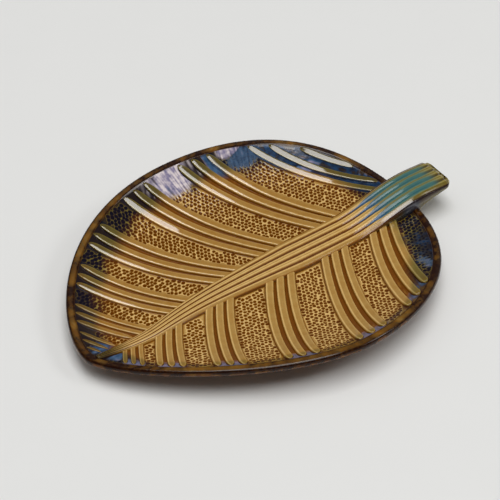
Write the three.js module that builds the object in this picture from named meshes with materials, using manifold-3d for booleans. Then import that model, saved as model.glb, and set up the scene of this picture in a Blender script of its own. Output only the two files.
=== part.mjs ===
// Leaf-shaped stoneware serving platter.
// A shallow leaf dish with a flat lip carries a ridged strap, which is the leaf's midrib on the floor and
// its stalk beyond the rim, groups of three raised ribs for the side veins, and a foot ring underneath.
// Millimetres, +Z up. X runs from the leaf's tip to its stalk and Y from its near side to its far side.

import * as THREE from 'three';
import Module from 'manifold-3d';

const wasm = await Module();
wasm.setup();

// Leaf outline: the tip is at X = 0, and each side is two curves that meet where the leaf is widest.
const BLADE_LENGTH = 287;
const FAR_HALF_WIDTH = 122.5;
const NEAR_HALF_WIDTH = 114;
const FAR_WIDEST_FROM_TIP = 148;
const NEAR_WIDEST_FROM_TIP = 166;
const TIP_SKEW_DEGREES = 8;
const FAR_TIP_ROUNDNESS = 30;
const NEAR_TIP_ROUNDNESS = 25;
const FAR_FLANK_REACH = 107;
const NEAR_FLANK_REACH = 74;
const FAR_SHOULDER_REACH = 68;
const NEAR_SHOULDER_REACH = 59;
const FAR_BASE_ROUNDNESS = 98;
const NEAR_BASE_ROUNDNESS = 77;

// Dish: a shallow bowl whose rim dips at the tip and at the stalk.
const HUB_FROM_TIP = 158;
const FLOOR_HEIGHT = 11;
const FLOOR_THICKNESS = 6;
const SIDE_RIM_HEIGHT = 31;
const TIP_RIM_DROP = 12;
const STALK_RIM_DROP = 14;
const WALL_CURVE = 3.5;
const LIP_WIDTH = 6.5;
const LIP_HEIGHT = 5;
const LIP_ROUNDING = 1.5;
const LIP_STEP = 0.9;

// Foot ring under the dish.
const FOOT_INSET = 46;
const FOOT_WIDTH = 6;
const FOOT_FLARE = 1.5;

// Ridged strap: the midrib along the floor and the stalk over the rim.
const STALK_REACH = 30;
const STALK_HALF_WIDTH = 15.5;
const STALK_RISE = 12.5;
const STALK_DROOP = 2;
const STALK_END_THICKNESS = 6.5;
const STALK_CORNER = 6;
const STALK_CLIMB_START = 62;
const STALK_CLIMB_END = -6;
const MIDRIB_TIP_GAP = 0.5;
const MIDRIB_TIP_HALF_WIDTH = 2.4;
const MIDRIB_TAPER_LENGTH = 172;
const MIDRIB_TIP_THICKNESS = 2;
const MIDRIB_THICKNESS = 4.2;
const MIDRIB_EDGE_DROP = 1.2;
const MIDRIB_TIP_OFFSET = -4.5;
const MIDRIB_BEND_FROM_TIP = 45;
const MIDRIB_BEND_OFFSET = -5.4;
const MIDRIB_CROWN_FROM_TIP = 115;
const MIDRIB_CROWN_OFFSET = 1.2;
const STALK_OFFSET = -5;
const RIDGE_COUNT = 5;
const RIDGE_DEPTH = 1.1;

// Side veins, each a group of parallel ribs. Along is where the middle rib's line meets the leaf's axis, as
// a share of the blade from its stalk end; the lean is the rib's angle to that axis, in degrees; spread is
// the ribs' spacing as a share of the widest.
const FAR_VEINS = [
  { along: -0.017, lean: 58, spread: 0.86 },
  { along: 0.195, lean: 62, spread: 1 },
  { along: 0.371, lean: 60, spread: 0.94 },
  { along: 0.512, lean: 52.5, spread: 1 },
  { along: 0.686, lean: 53, spread: 0.92 },
  { along: 0.836, lean: 54, spread: 0.76 },
  { along: 0.934, lean: 58, spread: 0.6 },
];
const NEAR_VEINS = [
  { along: 0.098, lean: 68, spread: 0.9 },
  { along: 0.253, lean: 67, spread: 0.88 },
  { along: 0.42, lean: 62.8, spread: 0.92 },
  { along: 0.604, lean: 60.7, spread: 0.9 },
  { along: 0.757, lean: 58.5, spread: 0.84 },
  { along: 0.864, lean: 59, spread: 0.64 },
];
const RIB_PITCH = 10;
const RIBS_PER_VEIN = 3;
const RIB_FAN_DEGREES = 0.8;
const RIB_GROOVE = 2;
const RIB_HEIGHT_TO_WIDTH = 0.36;
const RIB_BOW = 4;
const RIB_FULL_BOW_LENGTH = 92;
const RIB_END_GAP = 1.5;
const RIB_MIN_LENGTH = 7;
const RIB_ROUND_END = 4;
const RIB_BLUNTNESS = 0.12;
const RIB_TUCK = 3;
// Section of a rib with rounded shoulders: across as a share of its width, up as a share of its height.
const RIB_SECTION = [[0.5, 0], [0.47, 0.6], [0.33, 1], [-0.33, 1], [-0.47, 0.6], [-0.5, 0]];

// Seating gap between pieces that touch, and how far a piece is drawn into its seat before it is cut.
const SEAT_CLEARANCE = 0.3;
const SEAT_DEPTH = 1.5;

// Mesh fineness.
const RIM_SEGMENTS = 84;
const WALL_RINGS = [1, 0.95, 0.89, 0.82, 0.74, 0.65, 0.54, 0.4, 0.22];
const STRAP_STATIONS = 36;
const CORNER_STATIONS = 4;
const RIB_STATIONS = 7;
const RIB_TRACE_STEP = 0.5;

const GLAZE = {
  dish: { color: 0x8a5c22, roughness: 0.22, metalness: 0 },
  strap: { color: 0x9a7a48, roughness: 0.2, metalness: 0 },
  rib: { color: 0xa4814c, roughness: 0.2, metalness: 0 },
  foot: { color: 0x6b4a2c, roughness: 0.8, metalness: 0 },
};

const stalkEnd = BLADE_LENGTH + STALK_REACH;
const undersideHeight = FLOOR_HEIGHT - FLOOR_THICKNESS;
const hub = new THREE.Vector2(HUB_FROM_TIP, 0);

// One side of the leaf as two curves from the tip to the stalk end; side is +1 for far and -1 for near.
function leafSide(side, widest, halfWidth, tipRoundness, flankReach, shoulderReach, baseRoundness) {
  const tipAngle = THREE.MathUtils.degToRad(90 + side * TIP_SKEW_DEGREES);
  const tip = new THREE.Vector2(0, 0);
  const tipHandle = new THREE.Vector2(Math.cos(tipAngle), side * Math.sin(tipAngle));
  tipHandle.multiplyScalar(tipRoundness);
  const wide = new THREE.Vector2(widest, side * halfWidth);
  const flankHandle = new THREE.Vector2(widest - flankReach, side * halfWidth);
  const shoulderHandle = new THREE.Vector2(widest + shoulderReach, side * halfWidth);
  const baseHandle = new THREE.Vector2(BLADE_LENGTH, side * baseRoundness);
  const base = new THREE.Vector2(BLADE_LENGTH, 0);
  return [
    new THREE.CubicBezierCurve(tip, tipHandle, flankHandle, wide),
    new THREE.CubicBezierCurve(wide, shoulderHandle, baseHandle, base),
  ];
}

// Turns a curve round, so that the outline runs one way.
function reversed(curve) {
  return new THREE.CubicBezierCurve(curve.v3, curve.v2, curve.v1, curve.v0);
}

// The whole outline, anticlockwise from the tip: near side, stalk end, far side.
function leafOutline() {
  const near = leafSide(-1, NEAR_WIDEST_FROM_TIP, NEAR_HALF_WIDTH, NEAR_TIP_ROUNDNESS, NEAR_FLANK_REACH,
    NEAR_SHOULDER_REACH, NEAR_BASE_ROUNDNESS);
  const far = leafSide(1, FAR_WIDEST_FROM_TIP, FAR_HALF_WIDTH, FAR_TIP_ROUNDNESS, FAR_FLANK_REACH,
    FAR_SHOULDER_REACH, FAR_BASE_ROUNDNESS);
  const path = new THREE.CurvePath();
  near.forEach((curve) => path.add(curve));
  far.reverse().forEach((curve) => path.add(reversed(curve)));
  return path;
}

// Height of the lip's top: highest at mid-length, lower at the tip and at the stalk.
function rimHeight(x) {
  const fromMiddle = (2 * x) / BLADE_LENGTH - 1;
  const drop = fromMiddle < 0 ? TIP_RIM_DROP : STALK_RIM_DROP;
  return SIDE_RIM_HEIGHT - drop * fromMiddle ** 2;
}

// Spokes from the hub to the outline carry every section of the dish and the foot.
function makeSpokes() {
  const outline = leafOutline();
  const spokes = [];
  for (let i = 0; i < RIM_SEGMENTS; i++) {
    const point = outline.getPoint(i / RIM_SEGMENTS);
    const arm = point.clone().sub(hub);
    spokes.push({ arm, radius: arm.length(), rim: rimHeight(point.x) });
  }
  return spokes;
}

const spokes = makeSpokes();

// A point at a radius along a spoke.
function onSpoke(spoke, radius, z) {
  const flat = spoke.arm.clone().multiplyScalar(radius / spoke.radius).add(hub);
  return new THREE.Vector3(flat.x, flat.y, z);
}

// Height of the inner wall at a fraction of the way from the hub to the lip.
function wallHeight(rim, fraction) {
  return FLOOR_HEIGHT + (rim - LIP_STEP - FLOOR_HEIGHT) * fraction ** WALL_CURVE;
}

// Height of the underside at a fraction of the way from the hub to the lip's lower edge.
function undersideAt(rim, fraction) {
  return undersideHeight + (rim - LIP_HEIGHT - undersideHeight) * fraction ** WALL_CURVE;
}

// The dish at a plan point: the height of its top surface and the distance in from the lip.
function dishAt(x, y) {
  const point = new THREE.Vector2(x, y).sub(hub);
  for (let i = 0; i < RIM_SEGMENTS; i++) {
    const first = spokes[i];
    const second = spokes[(i + 1) % RIM_SEGMENTS];
    const area = first.arm.cross(second.arm);
    const a = point.cross(second.arm) / area;
    const b = first.arm.cross(point) / area;
    if (a < 0 || b < 0) continue;
    const share = b / (a + b || 1);
    const rim = THREE.MathUtils.lerp(first.rim, second.rim, share);
    const radius = point.length() / (a + b || 1);
    const fraction = point.length() / Math.max(radius - LIP_WIDTH, LIP_WIDTH);
    const top = fraction < 1 ? wallHeight(rim, fraction) : rim;
    return { top, fromLip: radius - LIP_WIDTH - point.length() };
  }
  return { top: FLOOR_HEIGHT, fromLip: HUB_FROM_TIP };
}

// Skins a row of rings into one closed surface. Rings run anticlockwise seen from the end they lead to.
// The ends are closed by fans to the two poles; with no poles the last ring joins the first.
function loft(rings, poles) {
  const count = rings[0].length;
  const points = rings.flat();
  const index = [];
  const steps = poles ? rings.length - 1 : rings.length;
  for (let r = 0; r < steps; r++) {
    const low = r * count;
    const high = ((r + 1) % rings.length) * count;
    for (let k = 0; k < count; k++) {
      const next = (k + 1) % count;
      index.push(low + k, low + next, high + next, low + k, high + next, high + k);
    }
  }
  if (poles) {
    const first = points.push(poles[0]) - 1;
    const last = points.push(poles[1]) - 1;
    const top = (rings.length - 1) * count;
    for (let k = 0; k < count; k++) {
      const next = (k + 1) % count;
      index.push(first, next, k, last, top + k, top + next);
    }
  }
  const geometry = new THREE.BufferGeometry().setFromPoints(points);
  geometry.setIndex(index);
  return geometry;
}

function toSolid(geometry) {
  return new wasm.Manifold(new wasm.Mesh({
    numProp: 3,
    vertProperties: geometry.attributes.position.array,
    triVerts: Uint32Array.from(geometry.index.array),
  }));
}

function toGeometry(solid) {
  const mesh = solid.getMesh();
  const geometry = new THREE.BufferGeometry();
  geometry.setAttribute('position', new THREE.BufferAttribute(Float32Array.from(mesh.vertProperties), 3));
  geometry.setIndex(Array.from(mesh.triVerts));
  return geometry;
}

// The middle of a ring, which closes a lofted end.
function ringMiddle(ring) {
  const sum = ring.reduce((total, point) => total.add(point), new THREE.Vector3());
  return sum.divideScalar(ring.length);
}

// The dish from its underside's middle, round the lip, to the floor's middle. A grown dish is the seat
// that is cut out of the pieces lying on it.
function dishGeometry(grow) {
  const ringOf = (place) => spokes.map((spoke) => {
    const [radius, z] = place(spoke);
    return onSpoke(spoke, radius, z);
  });
  const rings = [];
  for (const fraction of [...WALL_RINGS].reverse()) {
    rings.push(ringOf((s) => [fraction * (s.radius - LIP_ROUNDING), undersideAt(s.rim, fraction) - grow]));
  }
  rings.push(ringOf((s) => [s.radius + grow, s.rim - LIP_HEIGHT + LIP_ROUNDING]));
  rings.push(ringOf((s) => [s.radius + grow, s.rim - LIP_ROUNDING]));
  rings.push(ringOf((s) => [s.radius - LIP_ROUNDING + grow, s.rim + grow]));
  rings.push(ringOf((s) => [s.radius - LIP_WIDTH + LIP_STEP, s.rim + grow]));
  for (const fraction of WALL_RINGS) {
    rings.push(ringOf((s) => [fraction * (s.radius - LIP_WIDTH), wallHeight(s.rim, fraction) + grow]));
  }
  const below = new THREE.Vector3(hub.x, hub.y, undersideHeight - grow);
  const above = new THREE.Vector3(hub.x, hub.y, FLOOR_HEIGHT + grow);
  return loft(rings, [below, above]);
}

// The foot: a flat-bottomed ring that follows the leaf inside its rim, flaring up to the underside.
function footGeometry() {
  const seat = (spoke, radius) => {
    return undersideAt(spoke.rim, radius / (spoke.radius - LIP_ROUNDING)) - SEAT_CLEARANCE;
  };
  const ringOf = (inset, seated) => spokes.map((spoke) => {
    const radius = spoke.radius - inset;
    return onSpoke(spoke, radius, seated ? seat(spoke, radius) : 0);
  });
  return loft([
    ringOf(FOOT_INSET + FOOT_WIDTH, false),
    ringOf(FOOT_INSET, false),
    ringOf(FOOT_INSET - FOOT_FLARE, true),
    ringOf(FOOT_INSET + FOOT_WIDTH + FOOT_FLARE, true),
  ]);
}

// The strap's middle line in plan, swaying gently from the tip to the end of the stalk.
const strapStart = LIP_WIDTH + MIDRIB_TIP_GAP;
const strapSway = new THREE.SplineCurve([
  new THREE.Vector2(strapStart, MIDRIB_TIP_OFFSET),
  new THREE.Vector2(MIDRIB_BEND_FROM_TIP, MIDRIB_BEND_OFFSET),
  new THREE.Vector2(MIDRIB_CROWN_FROM_TIP, MIDRIB_CROWN_OFFSET),
  new THREE.Vector2(BLADE_LENGTH, STALK_OFFSET),
  new THREE.Vector2(stalkEnd, STALK_OFFSET),
]).getPoints(STRAP_STATIONS);

function strapMiddle(x) {
  const reached = strapSway.findIndex((point) => point.x >= x);
  const after = reached < 0 ? STRAP_STATIONS : Math.max(1, reached);
  const [from, to] = [strapSway[after - 1], strapSway[after]];
  return THREE.MathUtils.mapLinear(x, from.x, to.x, from.y, to.y);
}

// Half the strap's width: it tapers to the tip and has round corners at the end of the stalk.
function strapHalfWidth(x) {
  const taper = THREE.MathUtils.clamp((x - strapStart) / MIDRIB_TAPER_LENGTH, 0, 1);
  const width = THREE.MathUtils.lerp(MIDRIB_TIP_HALF_WIDTH, STALK_HALF_WIDTH, taper);
  const intoCorner = Math.max(0, x - (stalkEnd - STALK_CORNER));
  return width - STALK_CORNER + Math.sqrt(Math.max(0, STALK_CORNER ** 2 - intoCorner ** 2));
}

// Height of the strap's ridges: it lies on the floor, climbs over the rim and droops to its end.
function strapTop(x) {
  const floor = dishAt(Math.min(x, BLADE_LENGTH - LIP_WIDTH), strapMiddle(x)).top;
  const taper = THREE.MathUtils.clamp((x - strapStart) / MIDRIB_TAPER_LENGTH, 0, 1);
  const lying = floor + THREE.MathUtils.lerp(MIDRIB_TIP_THICKNESS, MIDRIB_THICKNESS, Math.sqrt(taper));
  const beyond = Math.max(0, x - BLADE_LENGTH) / STALK_REACH;
  const raised = rimHeight(BLADE_LENGTH) + STALK_RISE - STALK_DROOP * beyond ** 2;
  const toBladeEnd = BLADE_LENGTH - x;
  const climb = 1 - THREE.MathUtils.smoothstep(toBladeEnd, STALK_CLIMB_END, STALK_CLIMB_START);
  return THREE.MathUtils.lerp(lying, raised, climb);
}

// Evenly spaced stations along the strap, closer together round the corners of the stalk's end.
function strapStations() {
  const stations = [];
  const cornerStart = stalkEnd - STALK_CORNER;
  for (let i = 0; i < STRAP_STATIONS; i++) {
    stations.push(THREE.MathUtils.lerp(strapStart, cornerStart, i / STRAP_STATIONS));
  }
  for (let i = 0; i <= CORNER_STATIONS; i++) {
    stations.push(cornerStart + STALK_CORNER * Math.sin((i / CORNER_STATIONS) * Math.PI / 2));
  }
  return stations;
}

// Height of the strap's underside: sunk into its seat on the dish, then rising to the end of the stalk.
function strapUnderside(x, y, top) {
  const seat = dishAt(Math.min(x, BLADE_LENGTH), y).top - SEAT_DEPTH;
  const beyond = Math.max(0, x - BLADE_LENGTH) / STALK_REACH;
  return THREE.MathUtils.lerp(seat, top - STALK_END_THICKNESS, beyond);
}

// One section of the strap: ridges and grooves over the top, then the underside. Headroom raises the top.
function strapSection(x, grow, headroom) {
  const middle = strapMiddle(x);
  const halfWidth = strapHalfWidth(x);
  const top = strapTop(x);
  const grooveDepth = RIDGE_DEPTH * Math.min(1, halfWidth / STALK_HALF_WIDTH);
  const ring = [];
  for (let i = 0; i <= 2 * RIDGE_COUNT; i++) {
    const across = 1 - i / RIDGE_COUNT;
    const isRidge = i % 2 === 1;
    const fall = MIDRIB_EDGE_DROP * across ** 2 + (isRidge ? 0 : grooveDepth);
    ring.push(new THREE.Vector3(x, middle + across * (halfWidth + grow), top - fall + grow + headroom));
  }
  for (const edge of [-1, 1]) {
    const y = middle + edge * (halfWidth + grow);
    ring.push(new THREE.Vector3(x, y, strapUnderside(x, y, top)));
  }
  return ring;
}

// The strap; a grown strap with headroom is the room that the ribs keep clear of.
function strapGeometry(grow, headroom) {
  const rings = strapStations().map((x) => strapSection(x, grow, headroom));
  return loft(rings, [ringMiddle(rings[0]), ringMiddle(rings.at(-1))]);
}

// A rib's line in plan: from inside the strap's edge to just short of the lip, bowed towards the tip.
function ribPath(side, station, lean) {
  const direction = new THREE.Vector2(-Math.cos(lean), side * Math.sin(lean));
  const axisPoint = new THREE.Vector2(BLADE_LENGTH - station, 0);
  const at = (distance) => axisPoint.clone().addScaledVector(direction, distance);
  const clearOfLip = (point) => dishAt(point.x, point.y).fromLip > RIB_END_GAP;
  const pastStrap = (point) => {
    const edge = strapHalfWidth(Math.min(point.x, stalkEnd)) - RIB_TUCK;
    return point.x > strapStart && side * (point.y - strapMiddle(point.x)) > Math.max(edge, 0);
  };
  let start = 0;
  while (start < BLADE_LENGTH && !(clearOfLip(at(start)) && pastStrap(at(start)))) start += RIB_TRACE_STEP;
  let end = start;
  while (clearOfLip(at(end + RIB_TRACE_STEP))) end += RIB_TRACE_STEP;
  if (end - start < RIB_MIN_LENGTH) return null;
  const bulge = new THREE.Vector2(-Math.sin(lean), -side * Math.cos(lean));
  const bow = RIB_BOW * Math.min(1, (end - start) / RIB_FULL_BOW_LENGTH) ** 2;
  const control = at((start + end) / 2).addScaledVector(bulge, 2 * bow);
  return new THREE.QuadraticBezierCurve(at(start), control, at(end));
}

// A flat-topped rib with rounded shoulders that follows the dish and ends in a rounded tip.
function ribGeometry(path, width) {
  const height = RIB_HEIGHT_TO_WIDTH * width;
  const length = path.getLength();
  const rings = [];
  for (let i = 0; i <= RIB_STATIONS; i++) {
    const along = Math.sin((i / RIB_STATIONS) * Math.PI / 2);
    const point = path.getPointAt(along);
    const tangent = path.getTangentAt(along);
    const left = new THREE.Vector2(-tangent.y, tangent.x);
    const intoEnd = Math.max(0, 1 - (length * (1 - along)) / RIB_ROUND_END);
    const fullness = Math.sqrt(Math.max(RIB_BLUNTNESS, 1 - intoEnd ** 2));
    rings.push(RIB_SECTION.map(([across, rise]) => {
      const place = point.clone().addScaledVector(left, across * width * fullness);
      const seat = dishAt(place.x, place.y).top + SEAT_CLEARANCE;
      return new THREE.Vector3(place.x, place.y, seat + rise * height * fullness);
    }));
  }
  return loft(rings, [ringMiddle(rings[0]), ringMiddle(rings.at(-1))]);
}

function addPiece(group, name, geometry, finish) {
  const mesh = new THREE.Mesh(geometry, new THREE.MeshStandardMaterial(finish));
  mesh.name = name;
  group.add(mesh);
}

// Every rib of one side's veins, numbered from the stalk, each cut clear of the strap.
function addVeins(group, sideName, side, veins, strapRoom) {
  veins.forEach((vein, v) => {
    const pitch = RIB_PITCH * vein.spread;
    const width = pitch * Math.sin(THREE.MathUtils.degToRad(vein.lean)) - RIB_GROOVE;
    for (let r = 0; r < RIBS_PER_VEIN; r++) {
      const fromMiddle = r - (RIBS_PER_VEIN - 1) / 2;
      const lean = THREE.MathUtils.degToRad(vein.lean + fromMiddle * RIB_FAN_DEGREES);
      const path = ribPath(side, vein.along * BLADE_LENGTH - fromMiddle * pitch, lean);
      if (!path) continue;
      const rib = toSolid(ribGeometry(path, width)).subtract(strapRoom);
      addPiece(group, `${sideName}_vein_${v + 1}_rib_${r + 1}`, toGeometry(rib), GLAZE.rib);
    }
  });
}

function buildPlatter() {
  const platter = new THREE.Group();
  addPiece(platter, 'leaf_dish', dishGeometry(0), GLAZE.dish);
  addPiece(platter, 'foot_ring', footGeometry(), GLAZE.foot);
  const seat = toSolid(dishGeometry(SEAT_CLEARANCE));
  const strap = toSolid(strapGeometry(0, 0)).subtract(seat);
  addPiece(platter, 'midrib_stalk', toGeometry(strap), GLAZE.strap);
  const tallestRib = RIB_HEIGHT_TO_WIDTH * (RIB_PITCH - RIB_GROOVE);
  const strapRoom = toSolid(strapGeometry(SEAT_CLEARANCE, tallestRib));
  addVeins(platter, 'far', 1, FAR_VEINS, strapRoom);
  addVeins(platter, 'near', -1, NEAR_VEINS, strapRoom);
  const box = new THREE.Box3().setFromObject(platter);
  const middle = box.getCenter(new THREE.Vector3());
  platter.position.set(-middle.x, -middle.y, -box.min.z);
  return platter;
}

export default buildPlatter();
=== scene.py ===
"""Glazed looks of a leaf-shaped platter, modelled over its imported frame.

Lengths are metres. Leaf places are measured from the leaf's tip (x) and from its axis (y, far side positive).
A finished mesh is moved from there to the frame, whose origin lies under the platter's middle.
A named pair, unless its comment says otherwise, is where a soft step starts and where it ends.
"""

import math
import random
from bisect import bisect_right
from collections import namedtuple

import bmesh
import bpy
from bpy.props import FloatProperty, FloatVectorProperty, IntProperty, PointerProperty
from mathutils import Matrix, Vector, kdtree, noise
from mathutils.geometry import interpolate_bezier


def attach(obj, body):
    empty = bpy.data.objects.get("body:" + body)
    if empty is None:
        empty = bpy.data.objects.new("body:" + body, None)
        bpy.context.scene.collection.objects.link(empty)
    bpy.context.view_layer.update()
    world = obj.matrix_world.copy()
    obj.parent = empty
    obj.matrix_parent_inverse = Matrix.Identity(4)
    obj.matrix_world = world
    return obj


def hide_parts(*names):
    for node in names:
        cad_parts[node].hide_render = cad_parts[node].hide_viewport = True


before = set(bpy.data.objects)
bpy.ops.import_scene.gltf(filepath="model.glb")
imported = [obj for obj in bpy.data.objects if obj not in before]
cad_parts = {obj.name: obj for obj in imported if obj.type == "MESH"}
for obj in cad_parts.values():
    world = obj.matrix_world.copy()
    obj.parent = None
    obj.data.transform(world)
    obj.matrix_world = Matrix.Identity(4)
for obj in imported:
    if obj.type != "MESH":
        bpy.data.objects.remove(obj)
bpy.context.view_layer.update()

bl_info = {
    "name": "Leaf platter",
    "version": (1, 0, 0),
    "blender": (4, 5, 0),
    "location": "View3D > Sidebar > Platter",
    "description": "Models and glazes a leaf-shaped platter over its frame",
    "category": "Object",
}

MM = 0.001
MERGE_DISTANCE = 0.001 * MM

# Leaf outline, as in the frame: each side is two curves that meet where the leaf is widest.
BLADE_LENGTH = 287 * MM
FAR_HALF_WIDTH = 122.5 * MM
NEAR_HALF_WIDTH = 114 * MM
FAR_WIDEST_FROM_TIP = 148 * MM
NEAR_WIDEST_FROM_TIP = 166 * MM
TIP_SKEW_DEGREES = 8
FAR_TIP_ROUNDNESS = 30 * MM
NEAR_TIP_ROUNDNESS = 25 * MM
FAR_FLANK_REACH = 107 * MM
NEAR_FLANK_REACH = 74 * MM
FAR_SHOULDER_REACH = 68 * MM
NEAR_SHOULDER_REACH = 59 * MM
FAR_BASE_ROUNDNESS = 98 * MM
NEAR_BASE_ROUNDNESS = 77 * MM
OUTLINE_POINTS = 240
SKIN_INSET = 0.3 * MM

# Dish: a shallow bowl whose rim dips at the tip and at the stalk. The lip's rings are measured in from the
# outline, and the underside's are shares of the way out from the hub.
HUB_FROM_TIP = 158 * MM
FLOOR_HEIGHT = 11 * MM
FLOOR_THICKNESS = 6 * MM
SIDE_RIM_HEIGHT = 31 * MM
TIP_RIM_DROP = 12 * MM
STALK_RIM_DROP = 14 * MM
WALL_CURVE = 3.5
LIP_WIDTH = 6.5 * MM
LIP_HEIGHT = 5 * MM
LIP_STEP = 0.9 * MM
LIP_OUTER_ROUNDING = 2 * MM
LIP_LOWER_ROUNDING = 1.4 * MM
LIP_INNER_ROUNDING = 0.8 * MM
OUTER_ROUNDING_STEPS = 3
LIP_ROUNDING_STEPS = 2
LIP_RINGS = (4.2 * MM, 3 * MM)
LIP_EDGE_SLACK = 0.05 * MM
WELL_BELOW_TOP = 3 * MM
UNDERSIDE_RINGS = (0.96, 0.9, 0.82, 0.7, 0.5, 0.25)
DISH_CELLS = 100
PANEL_CUTS = 3

# Foot ring.
FOOT_INSET = 46 * MM
FOOT_WIDTH = 6 * MM
FOOT_FLARE = 1.5 * MM
FOOT_ROUNDING = 1 * MM
FOOT_ROUNDING_STEPS = 3
FOOT_SPOKES = 180

# Ridged strap: the midrib along the floor and the stalk over the rim.
STALK_REACH = 30 * MM
STALK_HALF_WIDTH = 15.5 * MM
STALK_RISE = 12.5 * MM
STALK_DROOP = 2 * MM
STALK_END_THICKNESS = 6.5 * MM
STALK_CORNER = 6 * MM
STALK_LOWER_ROUNDING = 2.4 * MM
STALK_CLIMB_START = 62 * MM
STALK_CLIMB_END = -6 * MM
MIDRIB_START = LIP_WIDTH + 0.5 * MM
MIDRIB_TIP_HALF_WIDTH = 2.4 * MM
MIDRIB_TAPER_LENGTH = 172 * MM
MIDRIB_TIP_THICKNESS = 2 * MM
MIDRIB_THICKNESS = 4.2 * MM
MIDRIB_EDGE_DROP = 1.2 * MM
MIDRIB_TIP_OFFSET = -4.5 * MM
MIDRIB_BEND_FROM_TIP = 45 * MM
MIDRIB_BEND_OFFSET = -5.4 * MM
MIDRIB_CROWN_FROM_TIP = 115 * MM
MIDRIB_CROWN_OFFSET = 1.2 * MM
STALK_OFFSET = -5 * MM
STRAP_HANDLE_SHARE = 1 / 6
RIDGE_COUNT = 5
GROOVE_DEPTH = 0.55 * MM
GROOVE_SHARE = 0.6
STRAP_SEAT = 1.5 * MM
STRAP_EDGE_START = 0.8
STRAP_EDGE_DROP = 1.1 * MM
FLAT_EDGE_DROP = 0.6 * MM
STALK_END_ROUNDING = 2.2 * MM
STALK_END_ROUND_LENGTH = 5 * MM
LOWER_ROUND_START = 0.5
STRAP_ROWS = 440
STRAP_TOP_POINTS = 90
STRAP_LOWER_POINTS = 12

# Side veins, each a group of parallel ribs, numbered from the stalk. Along is where the middle rib's line
# meets the leaf's axis, as a share of the blade from its stalk end. Lean is the angle to the axis in degrees.
# Spread is the ribs' spacing as a share of the widest.
Vein = namedtuple("Vein", "along lean spread")
FAR_VEINS = (
    Vein(-0.017, 58, 0.86),
    Vein(0.195, 62, 1),
    Vein(0.371, 60, 0.94),
    Vein(0.512, 52.5, 1),
    Vein(0.686, 53, 0.92),
    Vein(0.836, 54, 0.76),
    Vein(0.934, 58, 0.6),
)
NEAR_VEINS = (
    Vein(0.098, 68, 0.9),
    Vein(0.253, 67, 0.88),
    Vein(0.42, 62.8, 0.92),
    Vein(0.604, 60.7, 0.9),
    Vein(0.757, 58.5, 0.84),
    Vein(0.864, 59, 0.64),
)
RIB_PITCH = 10 * MM
RIBS_PER_VEIN = 3
RIB_FAN_DEGREES = 0.8
RIB_GROOVE = 2 * MM
RIB_HEIGHT_TO_WIDTH = 0.36
RIB_BOW = 4 * MM
RIB_FULL_BOW_LENGTH = 92 * MM
RIB_END_GAP = 0.3 * MM
FAR_RIB_ROUND_END = 10 * MM
NEAR_RIB_ROUND_END = 4 * MM
RIB_TUCK = 3 * MM
RIB_TOE = 1.1
RIB_SIDE = (1.04, 0.74)
RIB_WOBBLE = 0.04
RIB_LEAST_FULLNESS = 0.03
CROWN_FALL = 0.2
SHELF_FALL = 0.46
SHELF_FADE = 18 * MM
RIB_TRACE_STEP = 0.5 * MM
RIB_SINK = 0.6 * MM
RIB_SETTLE = 0.1 * MM
RIB_ROWS = 44
RIB_TOP_POINTS = 18
RIB_LOWER_POINTS = 4
RIB_SAMPLES = 80
RIB_SEARCH = 1.3 * RIB_PITCH

# Stipple pressed into the panels between the veins.
PANEL_MARGIN = 1.5 * MM
PANEL_LIP_MARGIN = 1.2 * MM
TIP_MARGIN_SHARE = 0.3
TIP_PANELS = (35 * MM, 75 * MM)
NARROW_PANEL = 6 * MM
GROOVE_ROOM = (NARROW_PANEL, 4.5 * MM)
REFINED_ROOM = 5 * MM
REFINED_UNDER_RELIEF = 1.1 * MM
PIT_ROW_SHARE = 0.866
PIT_SIZE_SPREAD = 0.15
PIT_WANDER = 0.4 * MM
LONE_PIT = 0.85
NET_RISE = (0.75, 1.0)
PIT_FALL = (0.9, 0.5)

# Shelves: near the lip the tip-side rib of some far veins, and every rib of the first, is planed down
# towards the tip. A shelf starts at a place across the rib, from -1 to 1, and reaches a length back from
# the rib's end.
Shelf = namedtuple("Shelf", "start length")
WIDE_SHELF = Shelf(-0.35, 38 * MM)
NARROW_SHELF = Shelf(0.2, 38 * MM)
LONG_SHELF = Shelf(-0.35, 64 * MM)
FAR_SHELVES = (LONG_SHELF, NARROW_SHELF, WIDE_SHELF, NARROW_SHELF, NARROW_SHELF)

TIP_X = -(BLADE_LENGTH + STALK_REACH) / 2
AXIS_Y = (NEAR_HALF_WIDTH - FAR_HALF_WIDTH) / 2
STALK_END = BLADE_LENGTH + STALK_REACH
UNDERSIDE_HEIGHT = FLOOR_HEIGHT - FLOOR_THICKNESS

# What the glaze does at a point. Tone runs from pooled (0) to broken over a crest (1). Pit is the distance
# from a stipple pit as a share of the way to the next. Flow is the olive run below the lip. Float is the
# blue float, and hue its colour from pale (0) to navy (1). Lip is the dark rim coat, teal the stalk's coat
# and matt a dull outer skin.
Coat = namedtuple("Coat", "tone pit flow float hue lip teal matt")
NO_PIT = 2.0


def paint(red, green, blue):
    """A colour in screen values, 0 to 255, turned to the linear values of shaders by the sRGB standard."""
    shares = [value / 255 for value in (red, green, blue)]
    return tuple(s / 12.92 if s <= 0.04045 else ((s + 0.055) / 1.055) ** 2.4 for s in shares)


def blend(low, high, share):
    return low + (high - low) * share


def ease(low, high, value):
    """A soft step from 0 at low to 1 at high, either way round."""
    share = min(1.0, max(0.0, (value - low) / (high - low)))
    return share * share * (3 - 2 * share)


def table_value(keys, values, key):
    """Reads a table of rising keys, straight between its rows."""
    row = min(max(bisect_right(keys, key), 1), len(keys) - 1)
    share = (key - keys[row - 1]) / (keys[row] - keys[row - 1])
    return blend(values[row - 1], values[row], share)


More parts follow.
